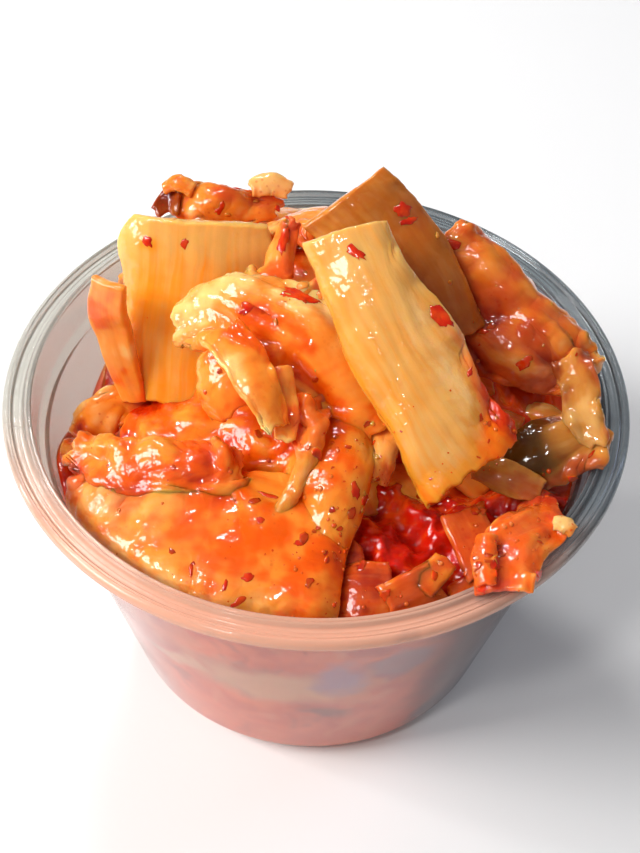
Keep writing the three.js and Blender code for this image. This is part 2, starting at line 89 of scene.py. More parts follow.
def feed(node, inputs):
    """Sets a node's inputs, by name or in order, each to a value, a hex colour or another node's output."""
    for key, value in inputs.items() if isinstance(inputs, dict) else enumerate(inputs):
        if isinstance(value, bpy.types.NodeSocket):
            node.id_data.links.new(value, node.inputs[key])
        else:
            node.inputs[key].default_value = linear(value) if isinstance(value, str) else value


def add(tree, kind, inputs=(), take=0, **settings):
    """Adds one node with its settings and inputs, and gives back one of its outputs."""
    node = tree.nodes.new(kind)
    for key, value in settings.items():
        setattr(node, key, value)
    feed(node, inputs)
    return node.outputs[take] if len(node.outputs) else None


def smooth(x, low, high):
    """0 below low, 1 above high, smooth between them."""
    t = np.clip((x - low) / (high - low), 0, 1)
    return t * t * (3 - 2 * t)


def wobble(x, seed):
    """Uneven but repeatable waviness, about -1 to 1."""
    return 0.65 * np.sin(x + 2.4 * seed) + 0.35 * np.sin(1.7 * x + 5.1 * seed)


# %% [markdown]
# ## Camera
#
# The camera stands close in front of the cup and looks steeply down into it, about as a person does who
# is about to eat. Close up, a lens shows perspective strongly: the near rim is much wider than the far
# one. So the distance matters as much as the angle. The frame is taller than it is wide and the cup
# sits low in it, which a vertical lens shift gives without turning the camera.

# %% Camera
IMAGE_WIDTH, IMAGE_HEIGHT = 640, 853  # pixels
SENSOR = 36.0  # mm, along the long side
FOCUS_PX = 1350.0  # focal length in pixels of the image
AIM = (0.0, 0.0, 20 * MM)  # the point of the cup's axis that the camera looks at
AIM_PX = (312.7, 517.3)  # where that point lands in the image
DISTANCE = 184.9 * MM
LOOK_DOWN = math.radians(51.2)
ROLL = math.radians(1.89)

camera_data = bpy.data.cameras.new("camera")
camera_data.sensor_width = SENSOR
camera_data.lens = FOCUS_PX / IMAGE_HEIGHT * SENSOR
camera_data.shift_x = (IMAGE_WIDTH / 2 - AIM_PX[0]) / IMAGE_HEIGHT
camera_data.shift_y = (AIM_PX[1] - IMAGE_HEIGHT / 2) / IMAGE_HEIGHT
camera_data.clip_start = 0.01
camera = bpy.data.objects.new("camera", camera_data)
camera.location = (
    AIM[0],
    AIM[1] - DISTANCE * math.cos(LOOK_DOWN),
    AIM[2] + DISTANCE * math.sin(LOOK_DOWN),
)
tilt = math.pi / 2 - LOOK_DOWN
camera.rotation_mode = "QUATERNION"


camera.rotation_quaternion = Quaternion((1, 0, 0), tilt) @ Quaternion((0, 0, 1), ROLL)
bpy.context.scene.collection.objects.link(camera)
bpy.context.scene.camera = camera
bpy.context.scene.view_settings.view_transform = "Standard"
print("lens %.1f mm, %.0f mm away" % (camera_data.lens, DISTANCE / MM))

# %% [markdown]
# ## Floor and light
#
# Wet food is read by its glints. A small lamp gives sharp ones and a big lamp gives a broad sheen, so the
# cup gets both: a soft panel on the left, as a window would be, for the form, and three small ones for
# sparkle along the wet edges. Two weak panels only lift the shadows, one of them cool. They are hidden
# from reflections, as more mirrored shapes would make food look like glazed clay. The floor is plain and
# pale, and is staged, so it isn't part of the object.

# %% Floor and light
FLOOR_SIDE = 4.0


def panel(name, place, size, power, glints=False, target=(0, 0, 45 * MM)):
    """A square area light that faces the food. Only one with `glints` is mirrored in wet faces."""
    lamp = bpy.data.lights.new(name, "AREA")
    lamp.size = size
    lamp.energy = power
    holder = bpy.data.objects.new(name, lamp)
    holder.location = place
    aim = [t - p for t, p in zip(target, place)]
    holder.rotation_euler = Vector(aim).to_track_quat("-Z", "Y").to_euler()
    bpy.context.scene.collection.objects.link(holder)
    holder.visible_glossy = glints
    return holder


panel("window_left", (-0.46, -0.12, 0.44), 0.26, 3.5, glints=True)
panel("sparkle_back", (-0.12, 0.35, 0.50), 0.09, 1.0, glints=True)
panel("sparkle_front", (-0.20, -0.30, 0.55), 0.06, 0.6, glints=True)
panel("sparkle_left", (-0.50, 0.10, 0.25), 0.05, 0.6, glints=True)
panel("front_fill", (-0.15, -0.45, 0.38), 0.30, 0.35)
panel("cool_right", (0.45, 0.25, 0.40), 0.25, 0.6).data.color = linear("#DCE4FF")[:3]

world = bpy.data.worlds.new("pale_room")
world.use_nodes = True
world.node_tree.nodes["Background"].inputs["Color"].default_value = linear("#FFFFFF")
world.node_tree.nodes["Background"].inputs["Strength"].default_value = 0.15
bpy.context.scene.world = world

floor_material = bpy.data.materials.new("white_paper_sweep")
floor_material.use_nodes = True
floor_shader = floor_material.node_tree.nodes["Principled BSDF"]
floor_shader.inputs["Base Color"].default_value = linear("#F7F6F4")
floor_shader.inputs["Roughness"].default_value = 0.9
bpy.ops.mesh.primitive_plane_add(size=FLOOR_SIDE)
floor = bpy.context.object
floor.name = "floor"
floor.data.materials.append(floor_material)
floor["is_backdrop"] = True

# %% [markdown]
# ## Noise for shapes
#
# Leaves, paste and cut faces are uneven at several sizes at once. The same lattice noise that a shader
# uses can also move vertices, and moved vertices cast shadows and break the outline, which bump can't.

# %% Noise
# Large odd numbers that scramble a cell's place and a seed into a value that looks random.
CELL_FACTORS = np.array([73856093, 19349663, 83492791])
SEED_FACTOR, MIX_FACTOR = 7919, 1274126177
POSITIVE = 0x7FFFFFFF


def noise(points, seed=0):
    """Smooth noise, about -1 to 1, at points given in units of one bump."""
    cell = np.floor(points).astype(np.int64)
    part = points - cell
    ease = part**3 * (part * (part * 6 - 15) + 10)
    total = np.zeros(points.shape[:-1])
    for corner in itertools.product((0, 1), repeat=3):
        corner = np.array(corner)
        key = (((cell + corner) * CELL_FACTORS).sum(-1) + seed * SEED_FACTOR) & POSITIVE
        key = ((key ^ (key >> 13)) * MIX_FACTOR) & POSITIVE
        key ^= key >> 15
        slope = np.stack([(key >> bits & 1023) / 511.5 - 1 for bits in (0, 10, 20)], -1)
        weight = np.where(corner, ease, 1 - ease).prod(-1)
        total += weight * ((part - corner) * slope).sum(-1)
    return 1.6 * total


def fractal(points, octaves=3, seed=0):
    """Noise at several sizes, each half as large and half as strong as the one before."""
    layers = [noise(points * 2**k, seed + k) / 2**k for k in range(octaves)]
    return sum(layers)


def creases(points, octaves=2, seed=0):
    """Noise folded into narrow ridges, 0 to 1, like the veins and wrinkles of a limp leaf."""
    layers = [noise(points * 2**k, seed + k) for k in range(octaves)]
    return sum((1 - np.abs(layer) * 2).clip(0, 1) ** 2 / 2**k for k, layer in enumerate(layers))


# %% [markdown]
# ## One rule for every leaf
#
# A cabbage leaf is a sheet. Its middle follows a spine, a smooth curve through a few points. At each
# place along the spine it has a width to the left and to the right, a direction that its outer face
# looks in, a bend across the width and waves along the edges. Two grids, one for each face, are set half
# the thickness away from that middle surface, and they meet along a rounded border, so the mesh is
# closed. Lower leaves are pushed down where an upper one lies on them, as real ones are.

# %% Sheets
GAP = 0.12  # mm of air or juice between two leaves
CUP_HEIGHT = 46.0
MOUTH_RADIUS = 34.5
FLOOR_THICKNESS = 1.0
# Height and radius of the inside of the cup, from its floor up, with a step that a lid snaps into.
INNER_WALL = ((FLOOR_THICKNESS, 23.6), (3.2, 25.2), (40.4, 33.1), (41.4, 34.1), (CUP_HEIGHT, MOUTH_RADIUS))

LEAF_DEFAULTS = dict(
    part_of=None,  # the solid that it belongs to, if not its own
    edge=0.5,  # mm thick at both edges
    bend=(10, 10),  # degrees that each half turns away from the facing side, at the start and the end
    curl=(0, 0),  # extra turn of the left and the right edge
    ruffle=0.5,  # mm height of the waves along the edges
    waves=3,
    slant=(0, 0),  # mm that each end runs on at the right edge
    torn=(0.5, 0.5),  # mm of raggedness at each end
    rag=0.05,  # raggedness of the long edges, as a share of the width
    over_rim=False,
    crinkle=0.35,  # mm height of wrinkles in thin leaf
    fibre=0.06,  # mm height of the strands in a rib
    frill=0.4,  # mm height of the small waves along a thin edge
    folds=0.0,  # mm height of the folds that run along it
    droop=(1, 0),  # where the end starts to hang over, and how far it hangs in mm
    give=3.0,  # mm that leaves lying on it can push it down
    presses=True,  # False for a sheet that runs into the ones below it
    mesh_step=0.27,  # mm between vertices
)


def spline(triples):
    """A smooth curve through points; one point alone is held all along."""
    knots = np.array(list(triples) * (2 if len(triples) == 1 else 1), float)
    ends = np.vstack([2 * knots[0] - knots[1], knots, 2 * knots[-1] - knots[-2]])

    def at(t):
        x = np.clip(t, 0, 1) * (len(knots) - 1)
        i = np.minimum(x.astype(int), len(knots) - 2)
        w = (x - i)[..., None]
        a, b, c, d = (ends[i + k] for k in range(4))
        bend, twist = 2 * a - 5 * b + 4 * c - d, 3 * b - a - 3 * c + d
        return 0.5 * (2 * b + (c - a) * w + bend * w**2 + twist * w**3)

    return at


def unit(vectors):
    """Vectors at length 1."""
    return vectors / np.linalg.norm(vectors, axis=-1, keepdims=True)


def inner_radius(z):
    """Radius of the cup's inside at height z; free above the rim."""
    heights, radii = zip(*INNER_WALL)
    return np.where(z > CUP_HEIGHT, 1e9, np.interp(z, heights, radii))


def pressed_inside(points, air=0.15):
    """Moves points that would cut the cup's wall inwards."""
    limit = inner_radius(points[..., 2]) - air
    soft = 3.0
    radius = np.hypot(points[..., 0], points[..., 1]) + 1e-9
    squeezed = limit - soft + soft * (1 - np.exp(-np.maximum(radius - limit + soft, 0) / soft))
    scale = np.where(radius > limit - soft, squeezed / radius, 1)
    return np.stack([points[..., 0] * scale, points[..., 1] * scale, points[..., 2]], -1)


def prepared(record):
    """A leaf's record with its defaults, its curves and its length."""
    leaf = SimpleNamespace(**{**LEAF_DEFAULTS, **record})
    leaf.line = spline(leaf.spine)
    leaf.look = spline(leaf.facing)
    leaf.widths = spline(leaf.sections)
    leaf.length = np.linalg.norm(np.diff(leaf.line(np.linspace(0, 1, 201)), axis=0), axis=1).sum()
    leaf.width = leaf.widths(np.linspace(0, 1, 21))[:, :2].sum(1).max()
    return leaf


STRIDES = 12  # steps from the spine to an edge, each at its own slope, that bend a sheet across


def middle_surface(leaf, s, v):
    """The sheet's middle at s along it, 0 to 1, and v across it, -1 to 1."""
    start = (0.5 + 0.5 * wobble(3.1 * v, leaf.seed)) * leaf.torn[0] + leaf.slant[0] * v
    end = (0.5 + 0.5 * wobble(3.7 * v, leaf.seed + 3)) * leaf.torn[1] - leaf.slant[1] * v
    rag = np.stack([v * 4.5, s * 0, v * 0 + leaf.seed], -1)
    start = start + 0.35 * leaf.torn[0] * fractal(rag, 3, 11)
    end = end + 0.35 * leaf.torn[1] * fractal(rag + 7.7, 3, 12)
    t = (start + s * (leaf.length - start - end)) / leaf.length
    held = np.clip(t, 0, 1)
    tangent = unit(leaf.line(np.clip(held + 1e-4, 0, 1)) - leaf.line(np.clip(held - 1e-4, 0, 1)))
    normal = leaf.look(held)
    normal = unit(normal - (normal * tangent).sum(-1, keepdims=True) * tangent)
    side = np.cross(normal, tangent)

    widths = leaf.widths(held)
    uneven = 1 + 0.07 * leaf.torn[1] * wobble(7 * s + 2 * v, leaf.seed + 5)
    nicks = np.stack([s * leaf.length / 2.6, np.sign(v) * 5, v * 0 + leaf.seed], -1)
    uneven = uneven + leaf.rag * fractal(nicks, 3, 13) * smooth(np.abs(v), 0.3, 1)
    half = np.where(v < 0, widths[..., 0], widths[..., 1]) * uneven
    bend = np.radians(leaf.bend[0] + (leaf.bend[1] - leaf.bend[0]) * held)
    curl = np.radians(np.where(v < 0, leaf.curl[0], leaf.curl[1]))
    across = np.zeros_like(v)
    lift = np.zeros_like(v)
    for k in range(STRIDES):
        x = v * (k + 0.5) / STRIDES
        angle = bend * x + np.sign(x) * curl * smooth(np.abs(x), 0.5, 1)
        across += np.cos(angle) * v * half / STRIDES
        lift -= np.sin(angle) * v * half / STRIDES
    lift += leaf.ruffle * v * v * wobble(2 * np.pi * leaf.waves * s + v, leaf.seed)
    if leaf.folds:
        lie = np.stack([v * half / 4.6, s * leaf.length / 15, v * 0 + 1.7 * leaf.seed], -1)
        lift += leaf.folds * (noise(lie, 3) + 0.8 * creases(lie * (1.1, 1.3, 1), 1, 5) - 0.2)
    lift -= leaf.droop[1] * smooth(s, leaf.droop[0], 1.02) ** 2
    return (
        leaf.line(held)
        + tangent * ((t - held) * leaf.length)[..., None]
        + side * across[..., None]
        + normal * lift[..., None]
    )


def surface_normals(grid):
    """Outward normals of a grid of points, from the differences along its rows and columns."""
    return unit(np.cross(np.gradient(grid, axis=0), np.gradient(grid, axis=1)) + 1e-12)


# %% [markdown]
# ## Leaves that lie on each other
#
# Limp leaves rest on one another and never pass through. A cloth simulation could settle them, but it
# would also move them from where they belong. Here each vertex of a lower leaf looks for the upper sheet
# nearest to it, and moves down by as much as it stands too high. How close a vertex lies under or beside
# an upper leaf is kept as well, to paint shade into the narrow seam between the two.

# %% Leaves lie on each other
TUCK_REACH = 6.0  # mm above an upper leaf beyond which a lower one is left alone
SEAM_SHADE_REACH = 2.6  # mm from an upper leaf within which shade is painted into the seam
CALMING = 3  # times that the push is evened out, so that it leaves no crease
BLEND = 1.2  # mm2, over which neighbouring samples of an upper leaf share in its height
EDGE = (0.9, 2.6)  # mm beside an upper leaf over which its push fades out
BATCH = 4000  # vertices compared at a time, which spares memory


def evened(grid):
    """A grid of values, each blended with its neighbours."""
    for axis in (0, 1):
        ends = np.pad(grid, [(1, 1) if a == axis else (0, 0) for a in range(grid.ndim)], mode="edge")
        length = grid.shape[axis]
        before, after = (np.take(ends, range(k, k + length), axis) for k in (0, 2))
        grid = 0.5 * grid + 0.25 * (before + after)
    return grid


def tucked(points, half_thickness, uppers, give=9.0):
    """The middle of a sheet pushed below the sheets on it, and where shade is painted close under one."""
    points = points.copy()
    before = points.copy()
    flat = points.reshape(-1, 3)
    shaded_seam = np.zeros(len(flat))
    spare = np.broadcast_to(half_thickness, points.shape[:-1]).reshape(-1)
    for centres, normals, halves in uppers:
        low, high = centres.min(0) - TUCK_REACH, centres.max(0) + TUCK_REACH
        near = np.nonzero(((flat > low) & (flat < high)).all(-1))[0]
        for part in np.array_split(near, max(1, len(near) // BATCH)):
            if not len(part):
                continue
            offset = flat[part][:, None] - centres
            squared = (offset**2).sum(-1)
            nearest = squared.min(1)
            weight = np.exp(-(squared - nearest[:, None]) / BLEND)
            weight /= weight.sum(1, keepdims=True)
            height = (weight * (offset * normals).sum(-1)).sum(1)
            direction = unit((weight[..., None] * normals).sum(1))
            room = (weight * halves).sum(1) + spare[part] + GAP
            beside = np.sqrt(np.maximum(nearest - height**2, 0))
            hold = (1 - smooth(beside, *EDGE)) * (1 - smooth(height, TUCK_REACH / 2, TUCK_REACH))
            flat[part] -= direction * (np.maximum(height + room, 0) * hold)[:, None]
            # Painted shade: how deep a vertex lies in the seam under or beside an upper leaf.
            seam_shade = smooth(height + room, -SEAM_SHADE_REACH, 0) * (1 - smooth(beside, 0.3, SEAM_SHADE_REACH))
            seam_shade *= 1 - smooth(height, TUCK_REACH / 2, TUCK_REACH)
            shaded_seam[part] = np.maximum(shaded_seam[part], seam_shade)
    pushed = points - before
    size = np.linalg.norm(pushed, axis=-1, keepdims=True)
    pushed *= np.minimum(1, give / np.maximum(size, 1e-9))
    for _ in range(CALMING):
        pushed = evened(pushed)
    return before + pushed, shaded_seam.reshape(points.shape[:-1])

# %% [markdown]
# ## From a sheet to a mesh
#
# The grid is finer near the borders, where the sheet rounds over. Thin leaf gets wrinkles that lift the
# whole sheet, and a rib gets long fibres on its faces only. Each vertex carries a `paint` colour that
# the finish reads: red for how leafy it is, green for how much chilli has stained it, with painted shade
# darkening hollows and seams and painted light on ridges and thin borders, blue for dark green leaf and
# alpha for wilted, shrivelled skin. The UV map is in metres along and across the leaf, so a fibre
# pattern keeps its real size.

# %% Leaf mesh
HOLLOW_SHADE = 0.45  # painted shade and light: how much darker each mm of hollow, and lighter each mm of ridge, is stained
SEAM_SHADE = 0.42  # and the painted shade in the seam under and beside a leaf that lies on this one


def spread(count, crowding):
    """Numbers from 0 to 1, closer together near both ends."""
    even = np.linspace(0, 1, count)
    return even - crowding * np.sin(2 * np.pi * even) / (2 * np.pi)


def new_piece(name, vertices, faces, material):
    """A mesh object at the origin with smooth faces, from points in mm."""
    mesh = bpy.data.meshes.new(name)
    mesh.from_pydata((np.asarray(vertices) * MM).tolist(), [], faces)
    mesh.validate()
    mesh.polygons.foreach_set("use_smooth", [True] * len(mesh.polygons))
    mesh.materials.append(material)
    piece = bpy.data.objects.new(name, mesh)
    bpy.context.scene.collection.objects.link(piece)
    return piece


def store_paint(mesh, paint):
    """Keeps one RGBA value a vertex for the finishes to read."""
    layer = mesh.attributes.new("paint", "FLOAT_COLOR", "POINT")
    layer.data.foreach_set("color", np.asarray(paint, np.float32).ravel())


def store_uv(mesh, uv):
    """Writes a UV for each vertex, repeated at every face corner."""
    corner = np.empty(len(mesh.loops), np.int32)
    mesh.loops.foreach_get("vertex_index", corner)
    layer = mesh.uv_layers.new(name="along_leaf")
    layer.data.foreach_set("uv", np.asarray(uv, np.float32)[corner].ravel())


def closed_shell(top, bottom):
    """Points and faces of two grids that share their outermost points, and which points are inside those."""
    rows, columns = top.shape[:2]
    index = np.arange(rows * columns).reshape(rows, columns)
    inside = np.zeros((rows, columns), bool)
    inside[1:-1, 1:-1] = True
    under = index.copy()
    under[inside] = rows * columns + np.arange(inside.sum())
    upper = [index[:-1, :-1], index[1:, :-1], index[1:, 1:], index[:-1, 1:]]
    lower = [under[:-1, :-1], under[:-1, 1:], under[1:, 1:], under[1:, :-1]]
    faces = np.vstack([np.stack(corners, -1).reshape(-1, 4) for corners in (upper, lower)])
    return np.vstack([top.reshape(-1, 3), bottom[inside]]), faces, inside


def sheet_arrays(leaf, uppers=()):
    """Points, faces, paint and UV of a leaf, and samples of it for the leaves below."""
    rows, columns = int(leaf.length / leaf.mesh_step), int(1.15 * leaf.width / leaf.mesh_step)
    row_s, column_v = spread(rows, 0.6), 2 * spread(columns, 0.75) - 1
    s, v = np.meshgrid(row_s, column_v, indexing="ij")
    middle = middle_surface(leaf, s, v)
    widths = leaf.widths(s)
    half = np.where(v < 0, widths[..., 0], widths[..., 1])
    along, across = s * leaf.length, v * half
    leafy, stain, green, wilt = (np.broadcast_to(layer, s.shape) for layer in leaf.paint(s, v))

    flat = np.stack([across, along, np.full_like(s, 3.3 * leaf.seed)], -1)
    normal = surface_normals(middle)
    swell = fractal(flat / 4.5, 2, leaf.seed) + 0.5 * creases(flat / 5, 2, 3)
    wrinkle = leaf.crinkle * (0.25 + 0.75 * leafy) * swell
    frill = leaf.frill * leafy * smooth(np.abs(v), 0.55, 1) * fractal(flat / 2.2, 2, leaf.seed + 9)
    plain = middle
    for _ in range(int(3 / leaf.mesh_step)):
        plain = evened(plain)
    middle = middle + normal * (wrinkle + frill)[..., None]
    raised = ((middle - plain) * normal).sum(-1)

    rib = leaf.widths(s)[..., 2]
    thick = leaf.edge + (rib - leaf.edge) * (1 - np.abs(v) ** 2.4)
    middle, seam_shade = tucked(middle, thick / 2, uppers, leaf.give)
    normal = surface_normals(middle)

    border = np.minimum((1 - np.abs(v)) * half, np.minimum(s, 1 - s) * leaf.length)
    radius = np.minimum(0.5 * thick, 0.55)
    rounding = (1 - (1 - np.clip(border / radius, 0, 1)) ** 2.4) ** (1 / 2.4)
    strands = noise(flat * (1.3, 0.09, 1), leaf.seed) + 0.5 * noise(flat * (3.1, 0.16, 1), leaf.seed + 1)
    blister = creases(flat / 1.7, 2, leaf.seed + 4) - 0.4
    shrivel = creases(flat / (1.6, 2.4, 1), 2, leaf.seed + 6) - 0.3
    relief = leaf.fibre * (1 - leafy) * strands + 0.16 * leafy * leaf.crinkle * blister
    relief = (relief + 0.14 * wilt * shrivel) * rounding
    # Painted shade and light: stain is darker in hollows of the sheet and lighter on its ridges and bumps.
    hollow_shade = HOLLOW_SHADE * (0.3 + 0.7 * leafy) * (np.clip(-raised, -0.5, 0.5) - 0.25 * relief)
    # Painted light: stain is a little lighter within about 0.5 mm of each border, as a thin edge that glows.
    # Painted shade: stain is darker in the seam under and beside an upper leaf.
    stain = stain + hollow_shade + SEAM_SHADE * (0.2 + 0.8 * leafy) * seam_shade - 0.04 * np.exp(-border / 0.5)
    faces_apart = (thick / 2 * rounding)[..., None]
    top = middle + normal * (faces_apart + relief[..., None])
    bottom = middle - normal * (faces_apart + 0.6 * relief[..., None])
    if not leaf.over_rim:
        top, bottom = pressed_inside(top), pressed_inside(bottom)

    points, faces, inside = closed_shell(top, bottom)
    colour = np.stack([leafy, stain, green, wilt], -1)
    paint = np.vstack([colour.reshape(-1, 4), colour[inside]])
    uv = np.stack([across, along], -1) * MM + 0.05 * leaf.seed
    uv = np.vstack([uv.reshape(-1, 2), uv[inside]])

    step = (slice(2, -2, 5), slice(2, -2, 5))
    samples = tuple(a[step].reshape(-1, *a.shape[2:]) for a in (middle, normal, thick / 2))
    return SimpleNamespace(
        points=points,
        faces=faces,
        paint=paint,
        uv=uv,
        samples=samples,
        top=top,
        normal=normal,
        row_s=row_s,
        column_v=column_v,
        half=half,
    )

# %% [markdown]
# ## Patterns at a real size
#
# Every pattern of a finish is given in millimetres, so that it stays right on a piece of any size. Sums,
# mixes and ranges are nodes too, and the short names below keep their lines short. A Mix node takes its
# two colours at inputs 6 and 7 and gives the result at output 2.

# %% Patterns
TO_MM = 1000.0  # the UV map and Object coordinates are in metres
MATH, MIX, RANGE = "ShaderNodeMath", "ShaderNodeMix", "ShaderNodeMapRange"
VECTOR_MATH, BUMP = "ShaderNodeVectorMath", "ShaderNodeBump"
CLOUDS, CELLS = "ShaderNodeTexNoise", "ShaderNodeTexVoronoi"
COLOURS = {"take": 2, "data_type": "RGBA"}
SMOOTHLY = {"interpolation_type": "SMOOTHSTEP"}


def pattern(tree, coordinates, size, inputs=None, kind=CLOUDS, stretch=(1, 1, 1), take=0, **settings):
    """A texture whose features are `size` mm across, longer along an axis that `stretch` is over 1 on."""
    scale = [TO_MM / (size * s) for s in stretch]
    place = add(tree, "ShaderNodeMapping", {"Vector": coordinates, "Scale": scale})
    return add(tree, kind, {"Vector": place, "Scale": 1.0, **(inputs or {})}, take, **settings)


def blank_material(name):
    """A new material, its node tree and its shader."""
    material = bpy.data.materials.new(name)
    material.use_nodes = True
    tree = material.node_tree
    return material, tree, tree.nodes["Principled BSDF"]


# %% [markdown]
# ## Finish of the cabbage
#
# Fermented cabbage is half clear. Light goes in, spreads a millimetre or two and comes back warmer, which
# is subsurface scattering, with red travelling furthest. Chilli oil and brine lie on it as a thin clear
# film. So the shader has a soft body under a sharp clear coat, and the coat has a broader bump than the
# body, as a liquid fills small pits and stands in beads. Rib has long strands, and leaf has a net of
# small veins, both laid out along the leaf by its UV map.

# %% Cabbage finish
VEIN_BEND = 1.2 * MM  # how far the net of veins wanders


def wet_cabbage(name, stages, roughness=0.3, depth_mm=1.0, powder=0.2, mottle=0.18):
    """Fermented cabbage: `stages` are its colours from clean flesh to soaked in chilli."""
    material, tree, shader = blank_material(name)
    uv = add(tree, "ShaderNodeUVMap", uv_map="along_leaf")
    place = add(tree, "ShaderNodeTexCoord", take="Object")
    painted = add(tree, "ShaderNodeAttribute", attribute_name="paint").node.outputs
    leafy, stain, green = add(tree, "ShaderNodeSeparateColor", [painted["Color"]]).node.outputs
    wilt = painted["Alpha"]
    rib = add(tree, MATH, [1.0, leafy], operation="SUBTRACT")

    # Stain: as painted, with blotches everywhere and fine streaks in rib.
    strands = pattern(tree, uv, 0.8, {"Detail": 2.0}, stretch=(1, 30, 1))
    streaks = add(tree, RANGE, [strands, 0.35, 0.7, -0.07, 0.07], **SMOOTHLY)
    blotches = pattern(tree, place, 5.0, {"Detail": 2.0, "Roughness": 0.6})
    blotches = add(tree, RANGE, [blotches, 0.3, 0.7, -mottle, mottle], **SMOOTHLY)
    soaked = add(tree, MATH, [stain, blotches], operation="ADD")
    soaked = add(tree, MATH, [streaks, rib, soaked], operation="MULTIPLY_ADD")
    colour = add(tree, "ShaderNodeValToRGB", [soaked])
    colour.node.color_ramp.interpolation = "EASE"
    stops = colour.node.color_ramp.elements
    while len(stops) < len(stages):
        stops.new(0.5)
    for i, (stop, stage) in enumerate(zip(stops, stages)):
        stop.position = i / (len(stages) - 1)
        stop.color = linear(stage)

    # Rib is banded light and dark along its strands, green leaf is nearly black, and wilted skin milky.
    bands = pattern(tree, uv, 1.3, {"Detail": 2.0}, stretch=(1, 26, 1))
    bands = add(tree, RANGE, [bands, 0.3, 0.7, -0.08, 0.05], **SMOOTHLY)
    shade = add(tree, MATH, [bands, rib, 1.0], operation="MULTIPLY_ADD")
    colour = add(tree, "ShaderNodeHueSaturation", {"Color": colour, "Value": shade})
    darkness = add(tree, MATH, [green, 0.95], operation="MULTIPLY")
    colour = add(tree, MIX, {0: darkness, 6: colour, 7: "#3A2406"}, **COLOURS)
    crumple = pattern(tree, uv, 1.5, {"Detail": 2.0, "Roughness": 0.6}, stretch=(1, 3, 1))
    milky = add(tree, RANGE, [crumple, 0.42, 0.66, 0.16, 0.5], **SMOOTHLY)
    milky = add(tree, MATH, [wilt, milky], operation="MULTIPLY")
    colour = add(tree, MIX, {0: milky, 6: colour, 7: "#F6CC90"}, **COLOURS)

    # Grains of chilli powder lie in drifts.
    grains = pattern(tree, place, 0.75, kind=CELLS)
    grains = add(tree, RANGE, [grains, 0.14, 0.34, 1.0, 0.0], **SMOOTHLY)
    drifts = pattern(tree, place, 4.0, {"Detail": 2.0})
    drifts = add(tree, RANGE, [drifts, 0.48, 0.68], **SMOOTHLY)
    shown = add(tree, MATH, [grains, drifts], operation="MULTIPLY")
    shown = add(tree, MATH, [shown, powder], operation="MULTIPLY")
    colour = add(tree, MIX, {0: shown, 6: colour, 7: "#C02404"}, **COLOURS)

    # The body is pitted by strands, veins and pores.
    bend = pattern(tree, uv, 3.0, {"Detail": 1.0}, take="Color")
    bent = add(tree, MIX, {0: VEIN_BEND, 6: uv, 7: bend}, **COLOURS, blend_type="LINEAR_LIGHT")
    net = pattern(tree, bent, 2.4, kind=CELLS, feature="DISTANCE_TO_EDGE", voronoi_dimensions="2D")
    veins = add(tree, RANGE, [net, 0.0, 0.25], **SMOOTHLY)
    pores = pattern(tree, place, 0.7, {"Detail": 2.0, "Roughness": 0.65})
    skin = add(tree, MATH, [wilt, 1.2, 0.4], operation="MULTIPLY_ADD")
    relief = add(tree, MATH, [strands, rib], operation="MULTIPLY")
    relief = add(tree, MATH, [veins, leafy, relief], operation="MULTIPLY_ADD")
    relief = add(tree, MATH, [pores, skin, relief], operation="MULTIPLY_ADD")
    body = add(tree, BUMP, {"Strength": 0.45, "Distance": 0.12 * MM, "Height": relief})

    # The film of juice is uneven, and stands in beads in some places.
    film = pattern(tree, place, 1.8, {"Detail": 2.0})
    gloss = add(tree, RANGE, [film, 0.35, 0.7, roughness - 0.08, roughness + 0.16], **SMOOTHLY)
    beads = pattern(tree, place, 0.75, {"Detail": 1.0})
    beaded = pattern(tree, place, 5.0, {"Detail": 2.0})
    beaded = add(tree, RANGE, [beaded, 0.46, 0.6, 0.05, 0.8], **SMOOTHLY)
    level = add(tree, MATH, [beads, beaded, film], operation="MULTIPLY_ADD")
    coat = add(tree, BUMP, {"Strength": 0.6, "Distance": 0.35 * MM, "Height": level})

    feed(shader, {"Base Color": colour, "Roughness": gloss, "IOR": 1.38, "Specular IOR Level": 0.08})
    feed(shader, {"Subsurface Weight": 0.85, "Subsurface Radius": (1.0, 0.6, 0.25)})
    feed(shader, {"Subsurface Scale": depth_mm * MM, "Normal": body, "Coat Normal": coat})
    feed(shader, {"Coat Weight": 1.0, "Coat Roughness": 0.04, "Coat IOR": 1.45})
    return material


# %% Finishes of the cabbage
FINISHES = {}
PALE = ["#EAB060", "#EC9628", "#F46A04", "#D83402"]
AMBER = ["#F2B45C", "#FF9E20", "#FA8204", "#D64404"]
RIB_IN_SHADE = ["#CC8228", "#BE640C", "#B45004", "#A82C06"]
ORANGE = ["#FFC474", "#F8902C", "#F05E04", "#C82A02"]
RED = ["#F4B468", "#E8801E", "#D04C06", "#A41A02"]
GREEN = ["#E4AC60", "#D08430", "#B84A0C", "#861803"]
PASTE = ["#F07C28", "#EC4A0C", "#D01A04", "#980C02"]

# Rib is thick and clear, so light goes deep, and it glows like candle wax with stained edges.
FINISHES["pale_stem"] = wet_cabbage("cabbage_rib_pale", PALE, depth_mm=1.8, powder=0.05, mottle=0.05)
# This one has lain in the juice and is amber all through.
FINISHES["amber_stem"] = wet_cabbage("cabbage_rib_amber", AMBER, depth_mm=1.8, powder=0.05, mottle=0.05)
# A rib in the shade of the others: its colours are painted darker and browner as that shade, with more
# powder on it.
FINISHES["brown_stem"] = wet_cabbage("cabbage_rib_brown", RIB_IN_SHADE, depth_mm=1.6, powder=0.1, mottle=0.08)
# Thin leaf takes up the most chilli and shows it in blotches from peach to deep orange.
FINISHES["orange_leaf"] = wet_cabbage("cabbage_leaf_orange", ORANGE, mottle=0.22)
# Leaf that lies in the paste: darker, and thick with powder.
FINISHES["red_leaf"] = wet_cabbage("cabbage_leaf_red", RED, powder=0.4)
